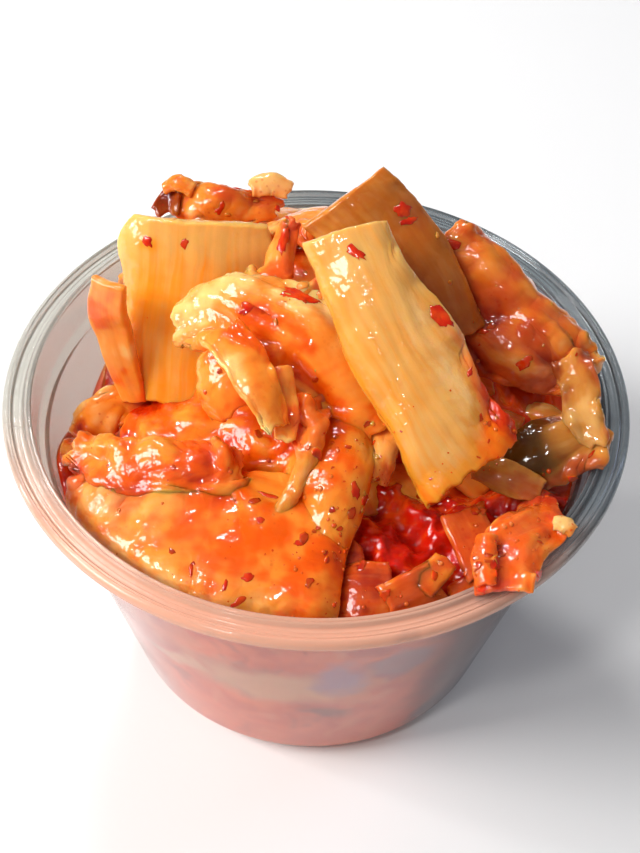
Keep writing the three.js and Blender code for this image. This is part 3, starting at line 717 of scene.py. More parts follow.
# Outer leaf, of which the green part is nearly black when it is wet.
FINISHES["green_leaf"] = wet_cabbage("cabbage_leaf_green", GREEN)
# Paste of ground chilli: deep red, smooth and wet, with light that comes back from far inside.
FINISHES["paste"] = wet_cabbage("chilli_paste", PASTE, roughness=0.22, depth_mm=1.6)
print("finishes:", ", ".join(m.name for m in FINISHES.values()))

# %% [markdown]
# ## The large cuts of cabbage
#
# Each large cut is given by its name, its finish and a few sizes in mm, and is kept in a list until all
# are known. The uppermost comes first, because a leaf is pushed down by those before it. A paint function
# says how leafy, stained, green and wilted a cut is, with s along it from 0 to 1 and v across it from
# -1 to 1. Colour follows the shape in this way, and needs no image texture.

# %% Cuts and their paint
LEAVES = []


def cut(name, finish, paint, seed, **shape):
    """Keeps one sheet: the finish of its body, where it is stained, and its own sizes."""
    LEAVES.append(dict(name=name, finish=finish, paint=paint, seed=seed, **shape))


def patch(s, v, at, reach):
    """1 at a place on a leaf, falling to 0 around it."""
    return np.exp(-(((s - at[0]) / reach[0]) ** 2) - ((v - at[1]) / reach[1]) ** 2)

# %% [markdown]
# ## The ribs that stand on top
#
# A rib is the thick white middle of a cabbage leaf. Cut across, it gives a slab about 3 mm thick and
# gently bent, with squared edges, which salt and brine have made limp and half clear. Two of them lean
# over the heap. Their spines run from the upper end down, `sections` gives the width on the left, the
# width on the right and the thickness at even steps, and `facing` the side that shows.

# %% Ribs on top of the heap
def paint_stem_front(s, v):
    corner = smooth(s + 0.3 * v, 0.84, 1.08)
    right_edge = smooth(v, 0.6, 0.84) * smooth(s, 0.25, 0.42)
    left_edge = smooth(v, -0.6, -1) * smooth(s, 0.05, 0.3)
    tip = patch(s, v, (1.0, -0.6), (0.08, 0.4))
    stain = 0.1 + 0.06 * s + 0.42 * right_edge + 0.46 * corner + 0.3 * tip + 0.22 * left_edge
    shrivelled = smooth(v, 0.05, 0.5) * smooth(s, 0.2, 0.45) + 0.5 * patch(s, v, (0.86, -0.1), (0.12, 0.4))
    return 0.1 + 0.5 * corner, stain, 0, (shrivelled * (1 - corner)).clip(0, 1)


def paint_stem_back(s, v):
    stain = 0.26 + 0.26 * smooth(s, 0.2, 1) - 0.1 * smooth(v, 0, -1)
    stain = stain + 0.45 * patch(s, v, (0.3, 0.65), (0.12, 0.3))
    return 0.2 + 0.3 * smooth(s, 0.6, 1), stain, 0, 0.2


cut(
    "stem_front", "pale_stem", paint_stem_front, seed=1,
    spine=[(2.3, 4, 66.6), (6, -2, 62.5), (10, -8, 57.5), (14.2, -12.9, 53.3), (18.8, -17.2, 49.5)],
    facing=[(-0.1, -0.6, 0.8), (-0.05, -0.65, 0.75), (0.1, -0.65, 0.75)],
    sections=[(5, 5, 3), (5.4, 5.8, 3.4), (6, 6.4, 3.4), (6.6, 6.4, 3), (6.6, 7.6, 2)],
    edge=0.7, bend=(22, 10), curl=(35, -12), ruffle=0.6, waves=4, slant=(1.1, -0.5), torn=(0.2, 2),
    rag=0.03, fibre=0.1,
)
cut(
    "stem_back", "brown_stem", paint_stem_back, seed=2,
    spine=[(2.3, 11.7, 65.3), (7.2, 8.8, 61.5), (12, 5, 57), (16, 1, 51)],
    facing=[(0.05, -0.77, 0.63), (0.15, -0.7, 0.65)],
    sections=[(5.6, 5.6, 2.6), (5.5, 6, 3), (6, 6, 3), (6, 5.5, 2.6)],
    edge=0.9, bend=(12, 20), curl=(0, 20), ruffle=0.3, slant=(1, 0), torn=(0.2, 1), rag=0.02,
)
print("sheets so far:", len(LEAVES))

# %% [markdown]
# ## The crumpled leaf in the centre
#
# This leaf has folded over itself, so one sheet isn't enough: a wide one carries the colour, and narrow
# ones that curl at their edges make the ridge along its crest, the fold in the middle and the lobe that
# hangs to the left. They belong to the same cut, which `part_of` says.

# %% Leaf in the centre
def paint_ridge(s, v):
    crest = patch(s, v, (0.4, -0.7), (0.6, 0.45))
    return 0.8, 0.42 - 0.24 * crest + 0.14 * smooth(s, 0.5, 0.1), 0, 0.4 * crest


def paint_vertical_fold(s, v):
    return 0.5, 0.26 + 0.2 * smooth(np.abs(v), 0.3, 1) + 0.15 * smooth(s, 0.3, 0), 0, 0.2


def paint_lobe_left(s, v):
    return 0.8, 0.5 + 0.14 * smooth(s, 0.3, 1), 0, 0


def paint_leaf_centre(s, v):
    cream = patch(s, v, (0.02, 0), (0.2, 1.2))
    hollow = patch(s, v, (0.52, -0.1), (0.2, 0.4))
    band = patch(s, v, (0.45, 0.7), (0.4, 0.5))
    red = patch(s, v, (0.36, 0.05), (0.05, 0.12))
    stain = 0.4 - 0.3 * cream + 0.34 * hollow - 0.24 * band + 0.4 * red + 0.25 * smooth(s, 0.6, 1)
    return 0.8 - 0.6 * cream, stain, 0, 0.3 * cream + 0.15 * band


cut(
    "centre_ridge", "orange_leaf", paint_ridge, seed=21, part_of="leaf_centre",
    spine=[(-11.2, -3.4, 58), (-8.2, -8.2, 57.6), (-6.2, -11.8, 56), (-4.2, -14.8, 53.2)],
    facing=[(0.1, -0.5, 0.85), (0.3, -0.6, 0.75)],
    sections=[(3.2, 2.4, 1.1), (2.6, 2.8, 1), (2, 2.6, 1), (1.2, 1.6, 0.9)],
    bend=(20, 20), curl=(-50, -30), ruffle=0.5, waves=2, torn=(0.8, 0.8), crinkle=0.28, frill=0.3,
    rag=0.06, mesh_step=0.2,
)
cut(
    "centre_fold", "orange_leaf", paint_vertical_fold, seed=22, part_of="leaf_centre",
    spine=[(-4.4, -7.4, 56.4), (-3.6, -10.8, 55.6), (-3.2, -13.4, 54), (-3.4, -15.4, 52.4)],
    facing=[(0.1, -0.6, 0.8)],
    sections=[(1.6, 1.6, 1), (1.7, 1.7, 1.1), (1.6, 1.6, 1), (1.1, 1.2, 0.8)],
    bend=(60, 50), ruffle=0.3, torn=(0.4, 0.4), crinkle=0.15, frill=0.1, mesh_step=0.2,
)
cut(
    "centre_lobe", "orange_leaf", paint_lobe_left, seed=23, part_of="leaf_centre",
    spine=[(-11.4, -4.6, 56.2), (-11, -8, 54), (-9.2, -10.9, 51.2)],
    facing=[(-0.4, -0.75, 0.5), (-0.1, -0.8, 0.6)],
    sections=[(2.6, 3, 1.1), (3.6, 3.4, 1.1), (2.8, 3, 0.9)],
    bend=(30, 30), curl=(15, 0), ruffle=0.5, torn=(0.5, 0.9), crinkle=0.25, mesh_step=0.22,
)
cut(
    "leaf_centre", "orange_leaf", paint_leaf_centre, seed=3,
    spine=[(-17, 2, 52.5), (-11, 1, 56.5), (-3, -2, 56.5), (4, -7, 52.5), (8, -11, 49)],
    facing=[(-0.3, -0.4, 0.85), (-0.1, -0.5, 0.85), (0.1, -0.5, 0.85)],
    sections=[(2.5, 3, 2.4), (7.4, 5, 2.2), (10, 7, 2), (9.5, 7, 1.8), (4, 5, 1.4)],
    bend=(25, 55), curl=(35, 0), ruffle=1.3, waves=3.5, torn=(0.6, 1.5), crinkle=0.22, folds=0.9,
    frill=0.5, rag=0.08,
)
print("sheets so far:", len(LEAVES))

# %% [markdown]
# ## A broad rib, a shred and a thin stalk
#
# The rib at the left stands upright, so its face is nearly flat, and only its upper left corner is cut
# round. The stalk is a narrow strip with a knot. It is rolled together across, by a strong `bend`.

# %% Rib at the left, a shred and a stalk
def paint_stem_left(s, v):
    stripe = patch(s, v, (0.47, -0.3), (0.025, 0.5)) + 0.6 * patch(s, v, (0.53, -0.2), (0.02, 0.6))
    # Painted light: stain deepens from the top down, for the orange glow of light through the rib's lower
    # part.
    stain = 0.04 + 0.2 * smooth(s, 0.1, 0.4) + 0.16 * stripe
    return 0.05, stain + 0.3 * patch(s, v, (0.17, -0.55), (0.04, 0.12)), 0, 0.05


def paint_shred_top(s, v):
    return 0.7, 0.42 + 0.36 * patch(s, v, (0.15, 0), (0.15, 0.6)), 0, 0.2


def paint_stalk_centre(s, v):
    pale = smooth(s, 0.34, 0.46) * smooth(s, 1, 0.75)
    return 0.8 - 0.3 * pale, 0.7 - 0.2 * pale, 0, 0.2 + 0.4 * pale


cut(
    "stem_left", "amber_stem", paint_stem_left, seed=4,
    spine=[(-15, 12.5, 60.6), (-15.5, 9, 55), (-16.5, 4.5, 48), (-17, 0, 41)],
    facing=[(0, -0.8, 0.55), (0, -0.85, 0.5)],
    sections=[
        (7.4, 8.8, 3), (9.4, 9.5, 3.5), (9, 9, 3.6), (8.2, 8, 3.5), (7.4, 6.8, 3.4), (6.6, 6.1, 3.2),
        (6, 5.5, 3),
    ],
    edge=1.6, bend=(12, 18), curl=(30, 0), ruffle=0.2, fibre=0.03, slant=(-0.3, 0), torn=(0.3, 0.5),
    rag=0.01, give=0.8,
)
cut(
    "shred_top", "orange_leaf", paint_shred_top, seed=5,
    spine=[(-3, 10, 63), (-5.5, 6, 61), (-9, 3, 58.5)],
    facing=[(-0.2, -0.6, 0.8)],
    sections=[(0.9, 0.9, 1), (1.8, 1.8, 1.1), (1.4, 1.4, 1)],
    bend=(50, 50), ruffle=0.8, torn=(1, 1), crinkle=0.4,
)
cut(
    "stalk_centre", "pale_stem", paint_stalk_centre, seed=6,
    spine=[
        (-0.6, -8.8, 54.3), (-1.2, -12.8, 53.2), (-0.8, -15.8, 51.2), (-1.8, -17.8, 48.7),
        (-3.2, -19.8, 46.9), (-4.6, -21.6, 45.3),
    ],
    facing=[(-0.1, -0.5, 0.85)],
    sections=[
        (1.3, 1.3, 0.9), (2.6, 2.4, 1.1), (1.3, 1.4, 1.1), (1, 1.1, 1), (0.9, 1, 0.9), (0.7, 0.8, 0.6),
    ],
    bend=(50, 40), ruffle=0.4, torn=(0.6, 0.3), rag=0.25, crinkle=0.3, edge=0.4, presses=False,
    mesh_step=0.2,
)
print("sheets so far:", len(LEAVES))

# %% [markdown]
# ## The leaves at the front and the left
#
# Thin leaf stained by chilli covers the front. The largest one has a far edge that folds up into a lip,
# which is a sheet of its own with a strong curl. Below it lie leaves of which little can be seen, but
# which fill the heap and give the upper ones something to rest on.

# %% Leaves at the front
def paint_lobe_right(s, v):
    return 0.7, 0.5 + 0.12 * smooth(v, 0.3, 1) - 0.1 * patch(s, v, (0.35, 0.3), (0.2, 0.4)), 0, 0


def paint_leaf_under_stem(s, v):
    return 0.8, 0.5 + 0.15 * patch(s, v, (0.1, -0.4), (0.15, 0.4)), 0, 0.4


def paint_lip(s, v):
    red = patch(s, v, (0.75, 0.2), (0.14, 0.6)) + 0.6 * patch(s, v, (0.35, 0.6), (0.2, 0.4))
    # Painted shade: stain is darker towards the front edge that curls down, as the shadow line under the
    # lip.
    return 0.9, 0.56 + 0.26 * red + 0.24 * smooth(v, -0.1, -0.9), 0, 0.1


def paint_leaf_front_left(s, v):
    pinkish = patch(s, v, (0.22, -0.1), (0.24, 0.4)) + 0.9 * patch(s, v, (0.45, -0.85), (0.3, 0.28))
    far_right = smooth(s, 0.72, 0.98)
    spill = patch(s, v, (0.6, -0.4), (0.09, 0.22)) + patch(s, v, (0.66, 0.3), (0.1, 0.3))
    stain = 0.48 - 0.2 * pinkish + 0.2 * far_right + 0.22 * spill
    return 0.75, stain, 0, 0.9 * pinkish


def paint_leaf_left(s, v):
    return 0.2, 0.32 + 0.22 * patch(s, v, (0.3, -0.4), (0.25, 0.7)), 0, 0.1


def paint_leaf_under_left(s, v):
    return 0.75, 0.62 + 0.2 * smooth(s, 0.2, 0), 0, 0


def paint_leaf_curl_left(s, v):
    return 0.9, 0.36 + 0.6 * patch(s, v, (0.19, 0), (0.12, 0.4)), 0, 0


cut(
    "lobe_right", "orange_leaf", paint_lobe_right, seed=24, part_of="leaf_under_stem",
    spine=[(1.2, -8, 53.4), (3, -13.6, 51.2), (2.8, -19.2, 48.4), (1.6, -25, 44)],
    facing=[(0.1, -0.5, 0.85), (0, -0.55, 0.8)],
    sections=[(3.2, 2.8, 1), (4.6, 4.2, 1.1), (4.4, 3.6, 1.1), (3.4, 2.4, 0.9)],
    bend=(35, 45), curl=(0, 25), ruffle=0.5, waves=2, torn=(0.6, 0.8), crinkle=0.2, frill=0.2,
    presses=False,
)
cut(
    "leaf_under_stem", "orange_leaf", paint_leaf_under_stem, seed=7,
    spine=[(-1, 4, 60.5), (3, -3, 56), (6, -10, 51.5), (5, -17, 47.5)],
    facing=[(0, -0.6, 0.8), (0.2, -0.5, 0.85)],
    sections=[(5, 6, 1.6), (6, 7, 1.6), (6, 6, 1.4), (5, 4, 1.2)],
    bend=(25, 45), curl=(0, 30), ruffle=0.8, folds=0.5, torn=(0.5, 1.2),
)
cut(
    "front_lip", "orange_leaf", paint_lip, seed=32, part_of="leaf_front_left",
    spine=[
        (-29.4, -10.4, 44), (-26, -13.6, 45.6), (-22, -15.6, 46.6), (-16.3, -16.8, 47.1),
        (-10.6, -16.8, 47.2), (-7.4, -15, 46.8),
    ],
    facing=[(-0.1, -0.45, 0.9), (0, -0.45, 0.9)],
    sections=[
        (1.4, 3, 0.7), (2.2, 4.4, 0.8), (2.6, 4.6, 0.8), (2.8, 5, 0.8), (2.6, 5, 0.8), (1.6, 4, 0.7),
    ],
    bend=(18, 18), curl=(70, 30), ruffle=0.8, waves=3.5, torn=(1.2, 1.6), crinkle=0.45, folds=0.6,
    frill=0.4, rag=0.06, mesh_step=0.2,
)
cut(
    "leaf_front_left", "orange_leaf", paint_leaf_front_left, seed=8,
    spine=[(-29, -13.5, 42.6), (-20, -18.5, 44.8), (-9, -20.5, 46), (4.2, -22.5, 45.4)],
    facing=[(-0.3, -0.2, 0.9), (0, -0.15, 1), (0.1, -0.15, 1)],
    sections=[(8, 4, 1.2), (12, 5, 1.5), (13, 6, 1.6), (11.5, 5.5, 1.3)],
    bend=(10, 18), curl=(25, -20), ruffle=0.6, waves=2.5, torn=(1, 0.4), slant=(0, -0.6), crinkle=0.22,
    frill=0.25, droop=(0.9, 1.6),
)
cut(
    "leaf_left", "orange_leaf", paint_leaf_left, seed=9,
    spine=[(-25, 4, 58), (-25.5, 3, 53), (-24.5, 1.5, 47), (-23, 0, 41.5)],
    facing=[(-0.4, -0.75, 0.5)],
    sections=[(1.9, 2.6, 1.4), (2.3, 3, 1.6), (2.2, 2.6, 1.6), (1.6, 2, 1.4)],
    edge=1.3, bend=(8, 8), ruffle=0.1, crinkle=0.1, frill=0, rag=0.01, torn=(0.2, 0.3), give=0.6,
)
cut(
    "leaf_under_left", "orange_leaf", paint_leaf_under_left, seed=10,
    spine=[(-24, -3, 40.5), (-15, -5, 43.5), (-5, -8, 45.5), (3, -12, 47)],
    facing=[(-0.2, -0.35, 0.9), (0, -0.35, 0.9)],
    sections=[(5, 5, 1.2), (6, 7, 1.4), (6, 7, 1.4), (4, 6, 1.2)],
    bend=(35, 35), ruffle=1.1, torn=(1, 1), crinkle=0.5, folds=0.8,
)
cut(
    "leaf_curl_left", "red_leaf", paint_leaf_curl_left, seed=11,
    spine=[(-30, -4, 38.5), (-27, -1, 41), (-21, 1, 42.5)],
    facing=[(-0.2, -0.5, 0.85)],
    sections=[(3, 2.5, 1.2), (3.5, 3, 1.4), (3, 3, 1.4)],
    bend=(60, 60), ruffle=0.6, folds=0.6,
)
print("sheets so far:", len(LEAVES))

# %% [markdown]
# ## The leaves that hang over the rim
#
# At the right the leaves are green at the edge of the head and darker, and they hang over the rim, so
# `over_rim` lets them pass it. The folded piece at the front is wide and thin, with a crumb of garlic.

# %% Leaves over the right rim
def paint_pale_flap(s, v):
    stain = 0.36 + 0.25 * smooth(v, 0.2, 1) + 0.3 * smooth(s, 0.4, 0) + 0.14 * wobble(9 * s + 2 * v, 2)
    return 0.5, stain, 0.3 * smooth(v, 0, -1), 0.2


def paint_brown_flap(s, v):
    return 0.4, 0.45 + 0.1 * s, 0.15, 0.2


def paint_leaf_rim_right(s, v):
    green = smooth(s, 0.52, 0.3) * smooth(v, -0.9, -0.4)
    return 0.2 + 0.6 * green, 0.4 + 0.25 * smooth(v, -0.3, -0.9), 0.9 * green, 0.2 * (1 - green)


def paint_leaf_right(s, v):
    tip = smooth(s, 0.72, 0.9)
    red = patch(s, v, (0.4, 0.3), (0.12, 0.3)) + 1.6 * patch(s, v, (0.88, 0.7), (0.1, 0.25))
    # Painted shade: stain is darker on the lower side, towards stem_front, along its first part.
    lower = smooth(v, 0.3, -0.4) * smooth(s, 0.95, 0.6)
    sinew = patch(s, v, (0.55, -0.55), (0.15, 0.1))
    stain = 0.5 - 0.34 * tip + 0.3 * red + 0.3 * lower - 0.5 * sinew
    return 0.85 - 0.6 * tip, stain, 0, 0.2 + 0.7 * sinew


def paint_leaf_fold(s, v):
    return 0.7, 0.62 + 0.14 * wobble(6 * s + v, 3) + 0.2 * smooth(s, 0.6, 1), 0, 0.15


def paint_garlic(s, v):
    return 0.3, 0.15 + 0.5 * smooth(s, 0.6, 1), 0.12, 0.3


cut(
    "rim_pale_flap", "green_leaf", paint_pale_flap, seed=25, part_of="leaf_rim_right",
    spine=[(29.6, 0.6, 52.2), (31, -3.6, 51.2), (31.6, -7.6, 50.2), (33.4, -11.4, 48.7)],
    facing=[(-0.1, -0.6, 0.8), (-0.2, -0.5, 0.85)],
    sections=[(2.2, 2.2, 0.8), (2.6, 2, 0.9), (3, 1.6, 0.9), (1.2, 1, 0.7)],
    bend=(15, 35), ruffle=0.9, waves=2.5, torn=(0.8, 0.9), crinkle=0.4, folds=0.5, over_rim=True,
)
cut(
    "rim_brown_flap", "green_leaf", paint_brown_flap, seed=26, part_of="leaf_rim_right",
    spine=[(18.4, -12.6, 46.2), (22.4, -14.2, 46), (26.6, -15.6, 45.2)],
    facing=[(-0.1, -0.55, 0.8)],
    sections=[(1.4, 1.6, 1), (2, 2.2, 1.2), (1.2, 1.4, 0.9)],
    bend=(20, 20), ruffle=0.3, torn=(0.5, 0.5), crinkle=0.15, over_rim=True,
)
cut(
    "leaf_rim_right", "green_leaf", paint_leaf_rim_right, seed=12,
    spine=[(22, -12, 44.6), (26.5, -10.8, 46.9), (30.5, -10.8, 48.4), (34.2, -11.8, 48)],
    facing=[(-0.1, -0.5, 0.85)],
    sections=[(4, 3, 1.2), (4.5, 4.5, 1.6), (3.8, 5, 2.2), (1.6, 2.4, 2)],
    crinkle=0.15, bend=(30, 30), over_rim=True,
)
cut(
    "leaf_right", "red_leaf", paint_leaf_right, seed=13,
    spine=[(13.5, 11, 59.5), (18.5, 8, 57), (24.5, 3.6, 53.5), (29.5, 0.2, 51.7), (33, -1.8, 51)],
    facing=[(0, -0.75, 0.65), (0.2, -0.6, 0.75)],
    sections=[(5, 4, 1.4), (7.5, 5, 1.6), (7.5, 5, 2), (5, 4.5, 2.4), (3, 2.6, 2.4)],
    bend=(20, 40), curl=(0, 30), ruffle=1, waves=4, torn=(0.5, 1), over_rim=True, crinkle=0.3, folds=0.7,
    frill=0.7, rag=0.08,
)
cut(
    "fold_flap", "orange_leaf", paint_leaf_fold, seed=27, part_of="leaf_fold_front_right",
    spine=[(18.9, -24.6, 48.8), (18.4, -27.8, 48.8), (18.8, -31, 47.6)],
    facing=[(-0.35, -0.35, 0.9)],
    sections=[(1, 1.4, 0.7), (1.4, 1.6, 0.8), (1, 1.1, 0.7)],
    bend=(50, 40), curl=(15, 0), ruffle=0.4, torn=(0.3, 0.4), rag=0.03, crinkle=0.25, over_rim=True,
    mesh_step=0.2,
)
cut(
    "garlic_bit", "orange_leaf", paint_garlic, seed=28, part_of="leaf_fold_front_right",
    spine=[(26.6, -21.6, 47.4), (28, -22, 47.5), (29, -22.8, 47.1)],
    facing=[(0, -0.4, 0.9)],
    sections=[(0.7, 0.7, 1), (1, 1, 1.2), (0.6, 0.6, 0.8)],
    bend=(40, 40), ruffle=0.2, torn=(0.2, 0.3), over_rim=True, mesh_step=0.2,
)
cut(
    "leaf_fold_front_right", "orange_leaf", paint_leaf_fold, seed=14,
    spine=[
        (20.4, -31.5, 47.5), (20.6, -28.2, 48), (22.3, -24.9, 47.8), (25.4, -21.6, 47),
        (27.8, -19.2, 46.3),
    ],
    facing=[(-0.2, -0.4, 0.9)],
    sections=[(3.4, 3.2, 0.8), (4, 3.6, 0.9), (3.4, 3.4, 0.9), (2.2, 2.4, 0.8)],
    bend=(25, 25), ruffle=0.5, waves=1.5, over_rim=True, crinkle=0.2, edge=0.4, folds=0.9, rag=0.03,
    torn=(0.4, 0.4),
)
print("sheets so far:", len(LEAVES))

# %% [markdown]
# ## The tuft and the back
#
# A small tuft of leaf tips stands at the back left. Behind it the heap is closed by larger, plainer cuts.

# %% Tuft and back of the heap
def paint_tuft(s, v):
    return 0.8, 0.42 + 0.4 * patch(s, v, (0.55, 0.3), (0.12, 0.4)), 0, 0.1


def paint_cream(s, v):
    return 0.3, 0.02 + 0.3 * smooth(s, 0.3, 0), 0, 0.3


def paint_dark_green(s, v):
    return 0.8, 0.6 + 0 * s, 0.6, 0


def paint_back(s, v):
    return 0.6 + 0.3 * wobble(5 * s + 2 * v, 1), 0.42 + 0.14 * wobble(4 * s - 3 * v, 2), 0, 0.3


def paint_stem_back_right(s, v):
    return 0.15 + 0.5 * smooth(s, 0.6, 1), 0.16 + 0.3 * smooth(s, 0.4, 1), 0, 0.2


cut(
    "tuft_nub", "red_leaf", paint_tuft, seed=29, part_of="tuft_back_left",
    spine=[(-20.2, 23, 56.6), (-18.4, 22.4, 58.2), (-16.2, 21.6, 57.6)],
    facing=[(-0.2, -0.6, 0.75)],
    sections=[(0.7, 0.7, 0.8), (1.1, 1.1, 0.9), (1, 1, 0.8)],
    bend=(50, 50), ruffle=0.3, torn=(0.1, 0.1), crinkle=0.2, frill=0.1,
)
cut(
    "tuft_cream", "orange_leaf", paint_cream, seed=30, part_of="tuft_back_left",
    spine=[(-9.4, 23, 57.2), (-6.6, 23.6, 57.6), (-4, 23.4, 56.6)],
    facing=[(0.1, -0.5, 0.85)],
    sections=[(1.2, 1.2, 0.8), (1.6, 1.6, 0.9), (1.2, 1.2, 0.8)],
    bend=(30, 30), ruffle=0.3, torn=(0.3, 0.4), crinkle=0.2, frill=0.1,
)
cut(
    "tuft_green", "red_leaf", paint_dark_green, seed=31, part_of="tuft_back_left",
    spine=[(-21.6, 20.4, 54.4), (-20, 21, 55.6), (-18, 20.6, 56)],
    facing=[(-0.3, -0.7, 0.6)],
    sections=[(0.8, 0.8, 0.7), (1.4, 1.4, 0.8), (1.2, 1.2, 0.7)],
    bend=(20, 20), torn=(0.2, 0.2), ruffle=0.1, crinkle=0.1, frill=0,
)
cut(
    "tuft_back_left", "red_leaf", paint_tuft, seed=15,
    spine=[(-19.5, 22, 56), (-15, 20.8, 57), (-10.4, 21, 56.8), (-5, 22, 56)],
    facing=[(0, -0.6, 0.8)],
    sections=[(2.2, 3, 1), (3, 2.6, 1.2), (3.2, 2.4, 1.2), (2.2, 2.4, 1)],
    bend=(70, 70), ruffle=0.8, torn=(1, 1.5), crinkle=0.3, folds=0.9, rag=0.1,
)
cut(
    "leaf_back_left", "orange_leaf", paint_back, seed=16,
    spine=[(-26, 16, 46), (-16, 24, 50), (-4, 28, 49), (6, 28, 46)],
    facing=[(-0.3, 0.4, 0.85), (0, 0.5, 0.85)],
    sections=[(6, 5, 1.4), (7, 6, 1.6), (7, 6, 1.6), (5, 5, 1.4)],
    bend=(35, 35), ruffle=1.2, torn=(1, 1), crinkle=0.6,
)
cut(
    "leaf_back_centre", "orange_leaf", paint_back, seed=18,
    spine=[(-6, 13, 57), (-3, 18, 56.5), (1, 23, 53), (4, 28, 47)],
    facing=[(-0.2, 0.6, 0.8)],
    sections=[(4, 4, 1.6), (6, 6, 1.6), (7, 6, 1.6), (5, 5, 1.2)],
    bend=(40, 30), ruffle=1, torn=(1, 1.5), crinkle=0.6,
)
cut(
    "stem_back_right", "pale_stem", paint_stem_back_right, seed=17,
    spine=[(4, 19, 57), (10, 18, 54), (17, 17, 49), (23, 14, 43)],
    facing=[(0.2, 0.6, 0.75)],
    sections=[(6, 5, 3), (7, 6, 3), (6.5, 6, 2.4), (5, 5, 1.6)],
    bend=(25, 25), ruffle=0.6, torn=(0.4, 1.2), rag=0.03,
)
print("sheets so far:", len(LEAVES))

# %% [markdown]
# ## Making the cuts
#
# The cuts are made from the top of the heap down, each with the samples of those above it, so every mesh
# rests under its neighbours. Sheets that belong to one cut are joined into one object, which replaces the
# plain solid of that cut.

# %% Make the cuts
sheets = {}
uppers = []
for record in LEAVES:
    leaf = prepared(record)
    sheet = sheet_arrays(leaf, uppers)
    sheet.leaf = leaf
    sheets[leaf.name] = sheet
    if leaf.presses:
        uppers.append(sheet.samples)


def joined(name, parts, material):
    """One object from several sheets' arrays."""
    piece = new_piece(name, np.vstack([p.points for p in parts]), joined_faces(parts), material)
    store_paint(piece.data, np.vstack([p.paint for p in parts]))
    store_uv(piece.data, np.vstack([p.uv for p in parts]))
    return piece


def joined_faces(parts):
    """The faces of several sheets numbered as one mesh."""
    start = np.cumsum([0] + [len(p.points) for p in parts])
    return np.vstack([p.faces + s for p, s in zip(parts, start)]).tolist()


for node in dict.fromkeys(s.leaf.part_of or s.leaf.name for s in sheets.values()):
    parts = [s for s in sheets.values() if node in (s.leaf.name, s.leaf.part_of)]
    finish = parts[0].leaf.finish
    piece = joined(f"fine_{node}", parts, FINISHES[finish])
    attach(piece, "root")
    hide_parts(node)
print("cuts:", len(sheets), "with", sum(len(s.faces) for s in sheets.values()), "faces")

# %% [markdown]
# ## The imported heap
#
# Under the large cuts the cup is full of small cuttings, radish, paste and juice, pressed against the
# wall. One closed surface carries them: a polar grid whose top has knuckles and creases, and whose side
# reaches just into the plastic so that no air shows through it. Cuttings of rib and leaf lie on its top,
# made by the same rule as the large ones.
#
# Seen through the wall, layers of leaf, rib and juice are flat fields of colour. They are painted on the
# side of this surface: a pattern of salmon and rust, then patches at given places, each with a soft edge,
# of which the violet ones are a painted cool reflection, and last a painted shade that darkens the right
# side.

# %% Packed heap
HEAP_LEVEL = 38.5  # mm, top of the heap beside the wall
MOUND = 18.0  # mm that it rises above that under the tallest stems
SECTORS = 260
TOP_RINGS = 110
WALL_RINGS = 90
INTO_WALL = 0.05  # mm


def in_pocket(x, y):
    """1 in the open pocket at the front right, where paste lies, and 0 elsewhere."""
    return smooth(x, -3, 2) * smooth(y, -10, -14)


def heap_height(x, y):
    """Height of the heap's bare top: a mound with knuckles of packed leaf."""
    rise = np.exp(-((x - 4) ** 2 / 260 + (y - 10) ** 2 / 190))
    knuckles = wobble(0.42 * x + 0.1 * y, 2) + wobble(0.38 * y - 0.15 * x, 7)
    paste = 3 * in_pocket(x, y) * smooth(y, -30, -24) * (1 + 0.5 * wobble(0.5 * x + 0.4 * y, 3))
    return HEAP_LEVEL + MOUND * rise + 0.8 * knuckles + paste


